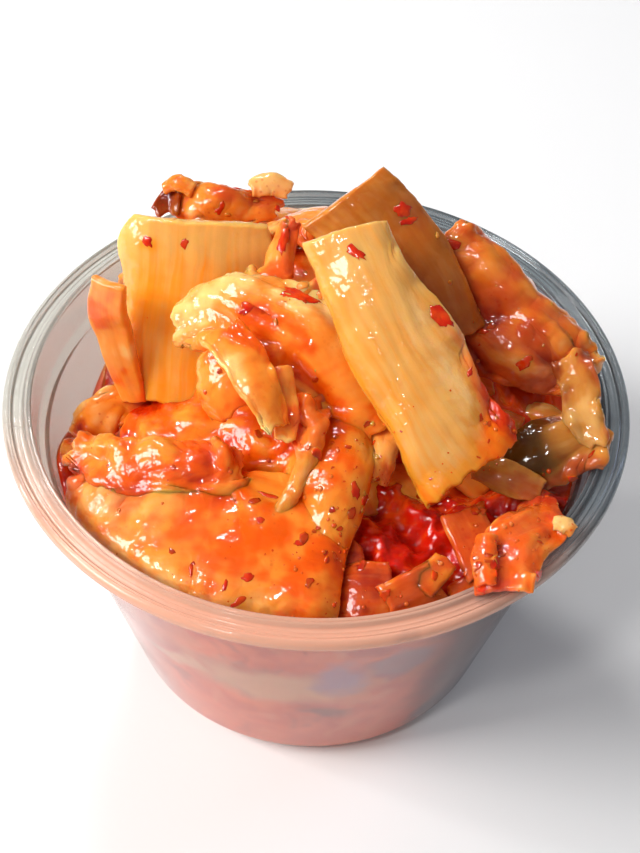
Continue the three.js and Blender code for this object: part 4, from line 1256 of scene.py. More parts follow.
def heap_arrays():
    """Points, quads and paint of the heap."""
    turn = np.linspace(0, 2 * np.pi, SECTORS, endpoint=False)
    reach = inner_radius(HEAP_LEVEL) + INTO_WALL
    share, around = np.meshgrid(np.linspace(0, 1, TOP_RINGS + 1)[1:], turn, indexing="ij")
    x, y = share * reach * np.cos(around), share * reach * np.sin(around)
    place = np.stack([x, y, 0 * x], -1)
    lumps = 0.9 * fractal(place / 4.2, 3, 5) + 0.9 * (creases(place / 5.5, 2, 8) - 0.4)
    lumps += in_pocket(x, y) * (0.5 * fractal(place / 2.4, 2, 6) + 0.25 * fractal(place / 0.9, 2, 9))
    dip = 9 * np.exp(-(((x + 29) / 7) ** 2) - ((y - 8) / 10) ** 2)
    z = heap_height(x, y) - dip + lumps * smooth(share, 1, 0.9)
    z = np.where(share > 0.93, np.minimum(z, 40 + 0.6 * wobble(5 * around, 3) - dip), z)
    top, _ = tucked(np.stack([x, y, z], -1), 0.1, uppers)
    radius = np.hypot(top[..., 0], top[..., 1])
    shrink = np.minimum(1, reach / np.maximum(radius, 1e-6))
    top[..., :2] *= np.where(share > 0.99, reach / np.maximum(radius, 1e-6), shrink)[..., None]

    depth, around = np.meshgrid(np.linspace(0, 1, WALL_RINGS + 1)[1:], turn, indexing="ij")
    z = top[-1, :, 2] + (FLOOR_THICKNESS - top[-1, :, 2]) * depth
    radius = inner_radius(z) + INTO_WALL
    side = np.stack([radius * np.cos(around), radius * np.sin(around), z], -1)

    rings = np.concatenate([top, side])
    centre = [[0, 0, heap_height(0, 0)], [0, 0, FLOOR_THICKNESS]]
    points = np.vstack([rings.reshape(-1, 3), centre])
    ring_count = len(rings)
    index = np.arange(ring_count * SECTORS).reshape(ring_count, SECTORS)
    following = np.roll(index, -1, axis=1)
    quads = np.stack([index[:-1], index[1:], following[1:], following[:-1]], -1).reshape(-1, 4)
    crown, foot = len(points) - 2, len(points) - 1
    faces = quads.tolist()
    faces += [[crown, a, b] for a, b in zip(index[0], following[0])]
    faces += [[foot, b, a] for a, b in zip(index[-1], following[-1])]

    x, y, z = points.T
    pocket = in_pocket(x, y)
    stain = 0.42 + 0.2 * fractal(points / (7, 7, 5), 3, 31)
    stain = stain + pocket * (0.2 + 0.3 * fractal(points / 1.6, 2, 33))
    paint = np.stack([0.75 + 0 * x, stain.clip(0, 1), 0 * x, 0 * x], -1)
    uv = np.stack([x, y + z], -1) * MM
    return points, faces, paint, uv


# %% What shows through the wall
# Each patch: X and Z of its middle and its reach along both (mm), colour.
WALL_PATCHES = [
    (-4.5, 24.4, 11, 6.4, "#F2D8BC"),
    (-15.8, 22.8, 4, 2, "#F2D8BC"),
    # The three violet patches are a painted cool reflection on the right side.
    (4, 28, 3.8, 6, "#B49CD8"),
    (11, 29.4, 3.6, 5, "#AC84A8"),
    (17, 5, 4, 5, "#8C6890"),
    (2.1, 15.7, 2.6, 2.2, "#900400"),
]


def pressed_on_the_wall():
    """Salmon leaf pressed on the plastic, with rib, brine, a dark fleck and painted reflection and shade."""
    material, tree, shader = blank_material("kimchi_pressed_on_the_wall")
    place = add(tree, "ShaderNodeTexCoord", take="Object")
    wander = pattern(tree, place, 7.0, {"Detail": 3.0}, take="Color")
    bent = add(tree, MIX, {0: 4 * MM, 6: place, 7: wander}, **COLOURS, blend_type="LINEAR_LIGHT")
    x, _, z = add(tree, "ShaderNodeSeparateXYZ", [bent]).node.outputs
    tone = pattern(tree, bent, 8.0, {"Detail": 3.0})
    tone = add(tree, RANGE, [tone, 0.3, 0.7], **SMOOTHLY)
    colour = add(tree, MIX, {0: tone, 6: "#FF8444", 7: "#D84410"}, **COLOURS)

    # Each layer: the value it follows, from and to, how much shows at either end, colour.
    ribs = pattern(tree, bent, 5.0, {"Detail": 2.0}, stretch=(1, 1, 2.5))
    layers = [
        (ribs, 0.55, 0.68, 0.0, 0.35, "#FFC08A"),
        (ribs, 0.4, 0.28, 0.0, 0.6, "#B83408"),
        (z, 4 * MM, 20 * MM, 0.6, 0.0, "#FF9068"),
    ]
    for middle_x, middle_z, reach_x, reach_z, tint in WALL_PATCHES:
        offset = add(tree, VECTOR_MATH, [bent, (middle_x * MM, 0, middle_z * MM)], operation="SUBTRACT")
        reach = (TO_MM / reach_x, 0, TO_MM / reach_z)
        offset = add(tree, VECTOR_MATH, [offset, reach], operation="MULTIPLY")
        distance = add(tree, VECTOR_MATH, [offset], "Value", operation="LENGTH")
        layers.append((distance, 0.4, 1.25, 0.8, 0.0, tint))
    layers += [
        # Painted shade: the right side turns dark brown, as the side away from the light.
        (x, 9 * MM, 20 * MM, 0.0, 0.85, "#6A1C08"),
        (x, -24 * MM, -12 * MM, 0.8, 0.0, "#B84018"),
    ]
    for *follows, tint in layers:
        share = add(tree, RANGE, follows, **SMOOTHLY)
        colour = add(tree, MIX, {0: share, 6: colour, 7: tint}, **COLOURS)
    feed(shader, {"Base Color": colour, "Roughness": 0.4, "Subsurface Weight": 0.6})
    feed(shader, {"Subsurface Radius": (1.0, 0.5, 0.3), "Subsurface Scale": 1 * MM})
    return material


# %% Make the heap
points, faces, paint, uv = heap_arrays()
heap = new_piece("packed_heap_core", points, faces, FINISHES["paste"])
store_paint(heap.data, paint)
store_uv(heap.data, uv)
heap.data.materials.append(pressed_on_the_wall())
side_start = TOP_RINGS * SECTORS
against_wall = [min(polygon.vertices) >= side_start - SECTORS for polygon in heap.data.polygons]
heap.data.polygons.foreach_set("material_index", np.array(against_wall, np.int32))
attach(heap, "root")
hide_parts("packed_heap")
print("heap:", len(faces), "faces")

# %% [markdown]
# ## Cuttings that lie on the heap
#
# Where the heap is open at the front, squared bits of rib and leaf lie in the paste. Those are placed one
# by one. Elsewhere only their size and number matter, so a rule spreads them: steps of the golden angle
# from the middle outwards leave no rows and no bare spots.

# %% Cuttings
# Each in the pocket: start, end, the way it faces, half width at each end, thickness (mm), stain.
POCKET_CUTTINGS = [
    ((11.8, -28.8, 43.4), (15.2, -25, 44.6), (-0.1, -0.3, 0.95), (2, 1.4), 1.2, 0.66),
    ((8.6, -30.6, 41.6), (14.6, -27.2, 42.8), (0.1, -0.6, 0.8), (3.2, 3), 2.4, 0.7),
    ((2.2, -28.6, 41.6), (9.2, -28.4, 42), (0.15, -0.4, 0.9), (4, 3.8), 2, 0.8),
    ((1.2, -23, 43.2), (5.8, -22.4, 43.4), (0.2, -0.4, 0.9), (3.4, 3.4), 2, 0.9),
    ((16.6, -18.4, 45), (20.4, -26.4, 43), (0.1, -0.5, 0.85), (2.4, 3), 1.8, 0.72),
    ((16.2, -29.6, 41.2), (22.4, -26.4, 41.8), (0, -0.35, 0.95), (2.8, 3), 2, 0.8),
]
GOLDEN_ANGLE = math.pi * (3 - math.sqrt(5))


def cutting(start, end, facing, half_widths, thick, stain, seed, leafy=0.3, arch=0.03, mesh_step=0.22):
    """A small cut that lies on the heap."""
    start, end = np.array(start), np.array(end)
    middle = (start + end) / 2 + np.array(facing) * arch * np.linalg.norm(end - start)

    def paint(s, v):
        return leafy, stain + 0.1 * wobble(5 * s + 3 * v, seed), 0, 0.1

    return prepared(
        dict(
            name=f"cutting_{seed}",
            spine=[start, middle, end],
            facing=[facing],
            sections=[(half_widths[0],) * 2 + (thick,), (half_widths[1],) * 2 + (thick,)],
            edge=0.8 * thick,
            bend=(12, 8),
            ruffle=0.2,
            waves=2,
            torn=(0.4, 0.4),
            rag=0.05,
            crinkle=0.15,
            seed=seed,
            paint=paint,
            mesh_step=mesh_step,
        )
    )


def scattered_cuttings(count=60):
    """Cuttings spread evenly over the heap, clear of the pocket and of the bare gap at the left."""
    for i in range(count):
        reach = 30 * math.sqrt((i + 0.5) / count)
        x, y = reach * math.cos(i * GOLDEN_ANGLE), reach * math.sin(i * GOLDEN_ANGLE)
        if (x > 0 and y < -12) or (x < -18 and -4 < y < 18):
            continue
        size = 1 + 0.3 * wobble(3 * i, 4)
        heading = math.radians(137 * i)
        slope = math.radians(12 * wobble(2 * i, 9))
        run = np.array([math.cos(heading), math.sin(heading), math.sin(slope)])
        middle = np.array([x, y, heap_height(x, y) + 0.3])
        ends = middle - 4 * size * run, middle + 4 * size * run
        stain, leafy = 0.45 + 0.2 * wobble(2.3 * i, 2), 0.5 + 0.4 * wobble(1.7 * i, 5)
        yield cutting(*ends, (0, 0, 1), (2.5 * size,) * 2, 1.8, stain, 40 + i, leafy, 0.12, 0.5)


pocket_leaves = [cutting(*sizes, seed=20 + i) for i, sizes in enumerate(POCKET_CUTTINGS)]
pocket_parts = [sheet_arrays(leaf, uppers) for leaf in pocket_leaves]
pocket = joined("pocket_cuttings", pocket_parts, FINISHES["red_leaf"])
filler_parts = [sheet_arrays(leaf, uppers) for leaf in scattered_cuttings()]
filler = joined("scattered_cuttings", filler_parts, FINISHES["orange_leaf"])
for piece in (pocket, filler):
    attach(piece, "root")
print("cuttings:", len(pocket_parts) + len(filler_parts))

# %% [markdown]
# ## The cup
#
# It is a vacuum-formed cup of polypropylene: less than a millimetre of a plastic that is naturally a
# little cloudy. It is round, so its profile is turned about the axis, with small rings moulded into the
# rim. The finish lets most light through but blurs it. Where no food lies behind it the wall looks grey.
# The wall is painted darker to the right as shade, and the front of its rim is painted warm as light
# that the food scatters into the plastic.

# %% Cup
RIM_RADIUS = 38.0  # mm
BASE_RADIUS = 23.0
WALL = 0.7
CUP_SECTORS = 240
FILL_LINE = 39 * MM  # above it the wall has no food behind it


def cup_profile():
    """[height, radius] stations from the axis outside, over the rim, and back to the axis inside."""
    inside = list(INNER_WALL)
    outside = [(z - 0.2, r + WALL) for z, r in inside[1:-1]]
    under_lip = CUP_HEIGHT - 0.9
    outer = MOUTH_RADIUS + WALL
    rim = [
        (under_lip, outer),
        (under_lip, RIM_RADIUS - 0.7),
        (CUP_HEIGHT - 1.3, RIM_RADIUS - 0.6),
        (CUP_HEIGHT - 1.3, RIM_RADIUS),
        (CUP_HEIGHT - 0.3, RIM_RADIUS),
        (CUP_HEIGHT, RIM_RADIUS - 0.4),
        (CUP_HEIGHT, RIM_RADIUS - 0.7),
        (CUP_HEIGHT - 0.2, RIM_RADIUS - 0.85),
        (CUP_HEIGHT, RIM_RADIUS - 1.0),
        (CUP_HEIGHT - 0.5, RIM_RADIUS - 1.3),
        (CUP_HEIGHT - 0.5, RIM_RADIUS - 1.65),
        (CUP_HEIGHT - 0.38, RIM_RADIUS - 1.8),
        (CUP_HEIGHT - 0.5, RIM_RADIUS - 1.95),
        (CUP_HEIGHT - 0.5, RIM_RADIUS - 2.3),
        (CUP_HEIGHT, RIM_RADIUS - 2.6),
        (CUP_HEIGHT, RIM_RADIUS - 2.85),
        (CUP_HEIGHT - 0.15, RIM_RADIUS - 2.95),
        (CUP_HEIGHT, RIM_RADIUS - 3.05),
    ]
    base = [(0.0, 0.0), (0.0, BASE_RADIUS), (0.9, BASE_RADIUS + 1.7)]
    return base + outside + rim + inside[::-1] + [(FLOOR_THICKNESS, 0.0)]


def rounded(stations, radius=0.25, arc=3):
    """The same profile with each corner cut to a small arc."""
    path = np.array(stations, float)
    result = [path[0]]
    for before, corner, after in zip(path, path[1:], path[2:]):
        arm = min(radius, *(np.linalg.norm(corner - p) / 2.1 for p in (before, after)))
        start = corner + unit(before - corner) * arm
        end = corner + unit(after - corner) * arm
        for t in np.linspace(0, 1, arc + 1):
            result.append((1 - t) ** 2 * start + 2 * t * (1 - t) * corner + t**2 * end)
    return np.array(result + [path[-1]])


def turned_piece(name, stations, sectors, material):
    """A closed solid turned about Z from stations that run from axis to axis."""
    turn = np.linspace(0, 2 * np.pi, sectors, endpoint=False)
    z, r = stations[1:-1, 0], stations[1:-1, 1]
    directions = (r, np.cos(turn)), (r, np.sin(turn)), (z, np.ones(sectors))
    rings = np.stack([np.outer(*pair) for pair in directions], -1)
    index = np.arange(rings.shape[0] * sectors).reshape(-1, sectors)
    following = np.roll(index, -1, axis=1)
    quads = np.stack([index[:-1], following[:-1], following[1:], index[1:]], -1).reshape(-1, 4)
    points = np.vstack([rings.reshape(-1, 3), [[0, 0, stations[0, 0]], [0, 0, stations[-1, 0]]]])
    under, inside = len(points) - 2, len(points) - 1
    faces = quads.tolist()
    faces += [[under, b, a] for a, b in zip(index[0], following[0])]
    faces += [[inside, a, b] for a, b in zip(index[-1], following[-1])]
    return new_piece(name, points, faces, material)


def frosted_polypropylene():
    """Plastic that blurs what lies behind it: grey where empty, with painted shade and a warm painted glow
    on the rim.
    """
    material, tree, shader = blank_material("frosted_polypropylene")
    place = add(tree, "ShaderNodeTexCoord", take="Object")
    x, y, z = add(tree, "ShaderNodeSeparateXYZ", [place]).node.outputs
    cloud = pattern(tree, place, 9.0, {"Detail": 3.0})
    grain = pattern(tree, place, 0.5, {"Detail": 2.0})

    # The food stands lower at the far left, where the heap leaves a gap.
    gap = add(tree, RANGE, [x, -31 * MM, -26 * MM, 9 * MM, 0.0], **SMOOTHLY)
    level = add(tree, MATH, [z, gap], operation="ADD")
    empty = add(tree, RANGE, [level, FILL_LINE - 1 * MM, FILL_LINE + 2 * MM], **SMOOTHLY)
    # Painted shade: the grey of the empty wall and the colour of the filled wall both darken to the right,
    # away from the light.
    shade_rightwards = add(tree, RANGE, [x, -30 * MM, 10 * MM], **SMOOTHLY)
    grey = add(tree, MIX, {0: shade_rightwards, 6: "#DAD8CE", 7: "#90989C"}, **COLOURS)
    shaded = add(tree, RANGE, [x, 12 * MM, 24 * MM], **SMOOTHLY)
    filled = add(tree, MIX, {0: shaded, 6: "#FFDCC6", 7: "#A87868"}, **COLOURS)
    colour = add(tree, MIX, {0: empty, 6: filled, 7: grey}, **COLOURS)

    # Painted light: the front of the rim is tinted warm and made less clear, as light that the food scatters
    # into the plastic.
    on_rim = add(tree, RANGE, [z, CUP_HEIGHT * MM - 1.6 * MM, CUP_HEIGHT * MM - 1.2 * MM], **SMOOTHLY)
    leftwards = add(tree, MATH, [x, -0.2], operation="MULTIPLY")
    frontal = add(tree, MATH, [leftwards, y], operation="SUBTRACT")
    food_glow = add(tree, RANGE, [frontal, 10 * MM, 34 * MM], **SMOOTHLY)
    for share in (add(tree, RANGE, [cloud, 0.2, 0.5], **SMOOTHLY), on_rim):
        food_glow = add(tree, MATH, [food_glow, share], operation="MULTIPLY")
    colour = add(tree, MIX, {0: food_glow, 6: colour, 7: "#FFC4A6"}, **COLOURS)

    gloss = add(tree, RANGE, [cloud, 0.3, 0.7, 0.08, 0.16], **SMOOTHLY)
    clear = add(tree, RANGE, [empty, 0.0, 1.0, 0.98, 0.74], **SMOOTHLY)
    clear = add(tree, MATH, [food_glow, -0.3, clear], operation="MULTIPLY_ADD")
    bump = add(tree, BUMP, {"Strength": 0.05, "Distance": 0.02 * MM, "Height": grain})
    feed(shader, {"Base Color": colour, "Roughness": gloss, "Transmission Weight": clear, "Normal": bump})
    feed(shader, {"IOR": 1.49, "Specular IOR Level": 0.1, "Coat Weight": 0.15, "Coat Roughness": 0.04})
    return material


cup = turned_piece("portion_cup", rounded(cup_profile()), CUP_SECTORS, frosted_polypropylene())
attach(cup, "root")
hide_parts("cup")
print("cup:", len(cup.data.polygons), "faces")

# %% [markdown]
# ## Chilli, pulp and beads of brine
#
# Kimchi is littered with chilli flakes, crumbs of garlic and pepper pulp, and beads of brine that chilli
# oil has turned orange. Bits like these are scattered by one Geometry Nodes tree: points are strewn over
# the open faces where an attribute says how dense they lie, and a random shape out of a small set is put
# on each. The shapes have few faces, as there are thousands of them. The three kinds share the tree and
# differ in their inputs only.

# %% Where litter can lie
LITTER_KINDS = ("chilli", "pulp", "bead")
LIFT = 0.3  # mm above a face, where the ray that looks for cover starts
HEADROOM = 2.5  # mm that have to be free above a face for litter to lie there


def open_faces():
    """The top of every cut and cutting as one surface, with how open each point of it lies."""
    tops = [(s.top.reshape(-1, 3), s.normal.reshape(-1, 3), s.top.shape[:2], s.paint) for s in every_sheet]
    solid_points = np.vstack([s.points for s in every_sheet])
    tree = BVHTree.FromPolygons(solid_points.tolist(), joined_faces(every_sheet))
    points, faces, layers, start = [], [], [], 0
    for top, normal, (rows, columns), paint in tops:
        index = np.arange(rows * columns).reshape(rows, columns)[::2, ::2]
        kept = index.ravel()
        renumber = np.full(rows * columns, -1)
        renumber[kept] = np.arange(len(kept))
        corners = [index[:-1, :-1], index[1:, :-1], index[1:, 1:], index[:-1, 1:]]
        faces.append(renumber[np.stack(corners, -1).reshape(-1, 4)] + start)
        place, facing = top[kept], normal[kept]
        rays = ((Vector(p + LIFT * n), Vector(n)) for p, n in zip(place, facing))
        clear = [tree.ray_cast(*ray, HEADROOM)[0] is None for ray in rays]
        up = smooth(facing[:, 2], -0.2, 0.3)
        layers.append(np.column_stack([np.array(clear) * up, paint[kept]]))
        points.append(place)
        start += len(kept)
    return np.vstack(points), np.vstack(faces), np.vstack(layers)


every_sheet = list(sheets.values()) + pocket_parts + filler_parts
points, faces, layers = open_faces()
clear, leafy, stain = layers[:, 0], layers[:, 1], layers[:, 2]
x, y, z = points.T
ground = new_piece("litter_ground", points, faces.tolist(), FINISHES["paste"])
patches = fractal(points / 5, 2, 51)
sprinkle = smooth(fractal(points / 1.5, 2, 57), -0.1, 0.5)
foam_front = np.exp(-(((x + 3) / 6) ** 2) - ((y + 23) / 6) ** 2)
foam_left = np.exp(-(((x + 14) / 3) ** 2) - ((y + 12) / 2) ** 2)
pocket_wet = 0.7 * in_pocket(x, y)
wet = 0.01 + 0.4 * (foam_front + foam_left) + pocket_wet + 0.1 * smooth(fractal(points / 6, 2, 55), 0.4, 0.9)
drifts = 0.03 + 0.3 * smooth(patches, 0.2, 0.7) + pocket_wet
densities = {
    "chilli": clear * drifts * stain * (0.15 + leafy) * sprinkle,
    "pulp": clear * smooth(fractal(points / 4, 2, 53), 0.35, 0.8) * leafy * sprinkle * 0.35,
    "bead": clear * wet * leafy * sprinkle,
}
for kind in LITTER_KINDS:
    layer = ground.data.attributes.new(kind, "FLOAT", "POINT")
    layer.data.foreach_set("value", densities[kind].clip(0, 1).astype(np.float32))
print("open ground:", len(faces), "faces,", int(clear.sum()), "open points")

# %% Small shapes to scatter
BIT_SECTORS = 8


def small_bit(name, height, jagged, seed, rings=(1.0, 0.75, 0.4)):
    """A low dome about 1 mm in radius with an uneven outline and a flat, closed underside."""
    draw = np.random.default_rng(seed)
    turn = np.linspace(0, 2 * np.pi, BIT_SECTORS, endpoint=False)
    outline = 1 + jagged * draw.uniform(-1, 1, BIT_SECTORS)
    squash = 1 - 0.6 * jagged * draw.uniform(0, 1)
    points = [(0, 0, height), (0, 0, -0.2 * height)]
    for ring in rings:
        rise = height * math.sqrt(1 - ring**2)
        for angle, reach in zip(turn, outline):
            points.append((ring * reach * math.cos(angle), squash * ring * reach * math.sin(angle), rise))
    faces = []
    last = 2 + (len(rings) - 1) * BIT_SECTORS
    for j in range(BIT_SECTORS):
        k = (j + 1) % BIT_SECTORS
        faces += [(0, last + j, last + k), (1, 2 + k, 2 + j)]
        for ring in range(len(rings) - 1):
            a = 2 + ring * BIT_SECTORS
            b = a + BIT_SECTORS
            faces.append((a + j, a + k, b + k, b + j))
    mesh = bpy.data.meshes.new(name)
    mesh.from_pydata((np.array(points) * MM).tolist(), [], faces)
    mesh.polygons.foreach_set("use_smooth", [True] * len(mesh.polygons))
    return bpy.data.objects.new(name, mesh)


def shape_set(name, height, jagged, count=6):
    """A collection of small shapes to pick from, kept out of the scene."""
    shapes = bpy.data.collections.new(name)
    for i in range(count):
        shapes.objects.link(small_bit(f"{name}_{i}", height, jagged, seed=100 + i))
    return shapes


# %% Scatter tree
def scatter_tree():
    """Geometry Nodes: bits out of a collection, strewn over a surface where an attribute is high."""
    tree = bpy.data.node_groups.new("strew_bits", "GeometryNodeTree")
    for label, kind in (
        ("Geometry", "NodeSocketGeometry"),
        ("Where", "NodeSocketString"),
        ("Per square metre", "NodeSocketFloat"),
        ("Smallest", "NodeSocketFloat"),
        ("Largest", "NodeSocketFloat"),
        ("Seed", "NodeSocketInt"),
        ("Shapes", "NodeSocketCollection"),
        ("Finish", "NodeSocketMaterial"),
    ):
        tree.interface.new_socket(label, in_out="INPUT", socket_type=kind)
    tree.interface.new_socket("Geometry", in_out="OUTPUT", socket_type="NodeSocketGeometry")
    given = add(tree, "NodeGroupInput").node.outputs
    share = add(tree, "GeometryNodeInputNamedAttribute", {"Name": given["Where"]}, data_type="FLOAT")
    density = add(tree, MATH, [share, given["Per square metre"]], operation="MULTIPLY")
    spread_out = {"Mesh": given["Geometry"], "Density": density, "Seed": given["Seed"]}
    strewn = add(tree, "GeometryNodeDistributePointsOnFaces", spread_out).node.outputs

    # A random number raised to a power gives many small bits and few large ones.
    chance = {"Min": 0.0, "Max": 1.0, "Seed": given["Seed"]}
    chance = add(tree, "FunctionNodeRandomValue", chance, "Value", data_type="FLOAT")
    small_ones = add(tree, MATH, [chance, 2.5], operation="POWER")
    sizes = {"Value": small_ones, "To Min": given["Smallest"], "To Max": given["Largest"]}
    size = add(tree, RANGE, sizes)

    tip = {"Min": (-0.25, -0.25, 0.0), "Max": (0.25, 0.25, 6.28), "Seed": given["Seed"]}
    spin = add(tree, "FunctionNodeRandomValue", tip, "Value", data_type="FLOAT_VECTOR")
    turn = {"Rotation": strewn["Rotation"], "Rotate By": spin}
    turned = add(tree, "FunctionNodeRotateRotation", turn, rotation_space="LOCAL")

    choice = {"Collection": given["Shapes"], "Separate Children": True, "Reset Children": True}
    shapes = add(tree, "GeometryNodeCollectionInfo", choice)
    put = {"Points": strewn["Points"], "Instance": shapes, "Pick Instance": True}
    placed = add(tree, "GeometryNodeInstanceOnPoints", {**put, "Rotation": turned, "Scale": size})
    real = add(tree, "GeometryNodeRealizeInstances", [placed])
    dressed = add(tree, "GeometryNodeSetMaterial", {"Geometry": real, "Material": given["Finish"]})
    add(tree, "NodeGroupOutput", {"Geometry": dressed})
    return tree


STREW = scatter_tree()
SOCKET = {item.name: item.identifier for item in STREW.interface.items_tree if item.in_out == "INPUT"}


def strewn_piece(name, slot, **values):
    """One plain mesh of everything that the tree strews over the open ground."""
    modifier = ground.modifiers.new(name, "NODES")
    modifier.node_group = STREW
    for label, value in values.items():
        modifier[SOCKET[label.replace("_", " ")]] = value
    ground.update_tag()
    evaluated = ground.evaluated_get(bpy.context.evaluated_depsgraph_get())
    mesh = bpy.data.meshes.new_from_object(evaluated)
    ground.modifiers.remove(modifier)
    piece = bpy.data.objects.new(name, mesh)
    bpy.context.scene.collection.objects.link(piece)
    mesh.materials.clear()
    mesh.materials.append(values["Finish"])
    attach(piece, "root")
    print(name + ":", len(mesh.polygons), "faces")
    return piece


# %% Finishes of the litter
def wet_bit(name, light, dark, scale_mm, roughness=0.25, clear=0.0, depth_mm=0.6):
    """A small wet crumb or flake, with its colour varied from one to the next."""
    material, tree, shader = blank_material(name)
    place = add(tree, "ShaderNodeTexCoord", take="Object")
    tone = pattern(tree, place, scale_mm, {"Detail": 2.0})
    tone = add(tree, RANGE, [tone, 0.35, 0.65], **SMOOTHLY)
    colour = add(tree, MIX, {0: tone, 6: light, 7: dark}, **COLOURS)
    grain = pattern(tree, place, 0.3, {"Detail": 2.0})
    bump = add(tree, BUMP, {"Strength": 0.3, "Distance": 0.08 * MM, "Height": grain})
    feed(shader, {"Base Color": colour, "Normal": bump, "Roughness": roughness, "IOR": 1.36})
    feed(shader, {"Specular IOR Level": 0.15, "Transmission Weight": clear, "Subsurface Weight": 0.8})
    feed(shader, {"Subsurface Radius": (1.0, 0.2, 0.05), "Subsurface Scale": depth_mm * MM})
    feed(shader, {"Coat Weight": 1.0, "Coat Roughness": 0.03})
    return material


# Dried chilli skin, soaked again: bright red, and lit through where it is thin.
CHILLI = wet_bit("wet_chilli_flake", "#FF440C", "#E02004", 1.5, depth_mm=1.0)
# Crumbs of garlic and pepper flesh: pale and half clear.
PULP = wet_bit("pepper_and_garlic_pulp", "#FFB048", "#F06A10", 1.2, clear=0.2)
# Drops of juice and oil: smooth, orange, with a sharp glint.
BRINE = wet_bit("brine_bead", "#FF7A30", "#F04A0C", 3.0, roughness=0.1, depth_mm=0.5)

strewn_piece(
    "chilli_flakes",
    "red_leaf",
    Where="chilli",
    Per_square_metre=2.2e6,
    Smallest=0.12,
    Largest=0.75,
    Seed=3,
    Shapes=shape_set("flake_shapes", height=0.1, jagged=0.45),
    Finish=CHILLI,
)
strewn_piece(
    "pulp_crumbs",
    "orange_leaf",
    Where="pulp",
    Per_square_metre=2.0e6,
    Smallest=0.15,
    Largest=0.7,
    Seed=5,
    Shapes=shape_set("crumb_shapes", height=0.35, jagged=0.35),
    Finish=PULP,
)
strewn_piece(
    "brine_beads",
    "orange_leaf",
    Where="bead",
    Per_square_metre=2.6e6,
    Smallest=0.08,
    Largest=0.36,
    Seed=7,
    Shapes=shape_set("bead_shapes", height=0.45, jagged=0.05),
    Finish=BRINE,
)
bpy.data.objects.remove(ground)

# %% [markdown]
# ## Large chilli flakes
#
# A large flake is a scrap of skin that clings to its leaf, so it follows the leaf's face: its outline is
# laid out in s and v, and every vertex is looked up on the sheet. They are few and easy to see, so each
# has its own place.

# %% Large flakes draped on their leaf
# Each: leaf, s along it, v across it, length, width, heading in degrees.
LARGE_FLAKES = [
    ("stem_front", 0.11, 0.03, 2.7, 1.1, 20),
    ("stem_front", 0.41, 0.88, 3.0, 1.6, 10),
    ("stem_front", 0.66, 0.84, 1.2, 0.8, 60),
    ("stem_back", 0.27, 0.58, 2.2, 1.8, 10),
    ("stem_back", 0.34, 0.52, 1.8, 1.2, 70),
    ("leaf_centre", 0.34, 0.06, 1.7, 1.3, 40),
    ("leaf_centre", 0.46, 0.62, 3.2, 4.8, 0),
    ("leaf_front_left", 0.75, -0.61, 1.2, 1.0, 10),
    ("leaf_front_left", 0.73, -0.81, 1.6, 0.9, 50),
    ("leaf_front_left", 0.69, -0.69, 1.2, 0.5, 80),
    ("leaf_front_left", 0.57, -0.59, 1.5, 0.5, 100),
    ("leaf_front_left", 0.79, 0.37, 1.6, 0.9, 60),
    ("leaf_front_left", 0.76, -0.09, 0.8, 0.7, 0),
    ("leaf_front_left", 0.87, -0.24, 0.9, 0.7, 0),
    ("leaf_front_left", 0.62, -0.04, 1.0, 0.8, 0),
    ("lobe_right", 0.65, 0.46, 1.8, 1.2, 30),
    ("leaf_right", 0.07, 0.35, 1.8, 1.4, 45),
    ("leaf_right", 0.42, -0.35, 1.6, 1.3, 10),
    ("leaf_right", 0.60, -0.52, 1.4, 1.0, 80),
    ("leaf_right", 0.86, 0.44, 4.0, 1.3, 110),
    ("leaf_fold_front_right", 0.06, 0.60, 1.7, 1.5, 0),
    ("shred_top", 0.21, -0.14, 1.5, 1.1, 0),
    ("stem_left", 0.14, -0.11, 1.4, 0.9, 0),
    ("stem_left", 0.16, -0.55, 1.8, 0.8, 20),
    ("tuft_back_left", 0.49, -0.3, 1.6, 1.0, 90),
]
FLAKE_SECTORS, FLAKE_RINGS = 18, 5
FLAKE_RISE, FLAKE_ROOT = 0.09, 0.15  # mm above its leaf in the middle, and down into it all round


def on_leaf(sheet, s, v):
    """Points and normals of a cut's upper face at s and v."""
    row = np.interp(s, sheet.row_s, np.arange(len(sheet.row_s)))
    column = np.interp(v, sheet.column_v, np.arange(len(sheet.column_v)))
    i = np.clip(row.astype(int), 0, len(sheet.row_s) - 2)
    j = np.clip(column.astype(int), 0, len(sheet.column_v) - 2)
    a, b = (row - i)[..., None], (column - j)[..., None]

    def blend(grid):
        near = grid[i, j] * (1 - b) + grid[i, j + 1] * b
        far = grid[i + 1, j] * (1 - b) + grid[i + 1, j + 1] * b
        return near * (1 - a) + far * a

    return blend(sheet.top), unit(blend(sheet.normal))


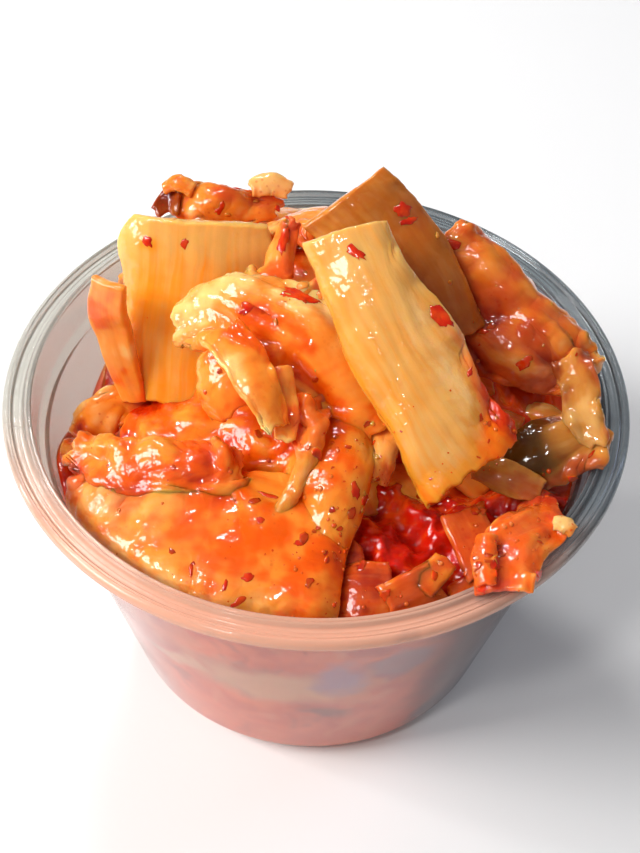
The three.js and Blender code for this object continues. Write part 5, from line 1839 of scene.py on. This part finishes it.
def draped_flake(sheet, s0, v0, length, width, heading, seed):
    """A thin torn flake that follows the face it lies on."""
    turn, ring = np.meshgrid(
        np.linspace(0, 2 * np.pi, FLAKE_SECTORS, endpoint=False), np.linspace(0, 1, FLAKE_RINGS + 1)[1:]
    )
    torn = 1 + 0.5 * fractal(np.stack([1.3 * np.cos(turn), 1.3 * np.sin(turn), 0 * turn + seed], -1), 2, 61)
    a, b = ring * torn * length / 2 * np.cos(turn), ring * torn * width / 2 * np.sin(turn)
    angle = math.radians(heading)
    along, across = a * math.cos(angle) - b * math.sin(angle), a * math.sin(angle) + b * math.cos(angle)
    half = sheet.half[len(sheet.half) // 2].max()
    s, v = s0 + along / sheet.leaf.length, v0 + across / half
    place, normal = on_leaf(sheet, np.append(s, s0), np.append(v, v0))
    uneven = 0.03 * noise(np.stack([a, b, 0 * a], -1) * 2, seed)
    rise = np.append(FLAKE_RISE * (1 - ring**3) + uneven, FLAKE_RISE)
    upper = place + normal * rise[:, None]
    lower = place - normal * FLAKE_ROOT
    top_index = np.arange(FLAKE_RINGS * FLAKE_SECTORS).reshape(FLAKE_RINGS, FLAKE_SECTORS)
    peak = top_index.size
    following = np.roll(top_index, -1, axis=1)
    quads = np.stack([top_index[:-1], top_index[1:], following[1:], following[:-1]], -1)
    quads = quads.reshape(-1, 4).tolist()
    fan = [[peak, p, q] for p, q in zip(top_index[0], following[0])]
    outer, outer_next = top_index[-1], following[-1]
    base = np.arange(FLAKE_SECTORS) + peak + 1
    skirt = np.stack([outer, base, np.roll(base, -1), outer_next], -1).tolist()
    under = [base[::-1].tolist()]
    return np.vstack([upper, lower[outer]]), quads + fan + skirt + under


points, faces = [], []
for i, (leaf_name, *sizes) in enumerate(LARGE_FLAKES):
    flake_points, flake_faces = draped_flake(sheets[leaf_name], *sizes, seed=i)
    start = sum(len(p) for p in points)
    points.append(flake_points)
    faces += [[start + index for index in face] for face in flake_faces]
large = new_piece("large_chilli_flakes", np.vstack(points), faces, CHILLI)
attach(large, "root")
print("large flakes:", len(LARGE_FLAKES))

# %% [markdown]
# ## Size note
#
# The dressed object should fill the same box as the plain solids. Both boxes are gathered, and the dressed
# one is printed.

# %% Size note
visual_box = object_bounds()
boxes = {"cad": cad_box, "visual": visual_box}
{label: [list(corner) for corner in box] for label, box in boxes.items()}
print("visual box:", [[round(c / MM, 2) for c in corner] for corner in visual_box])
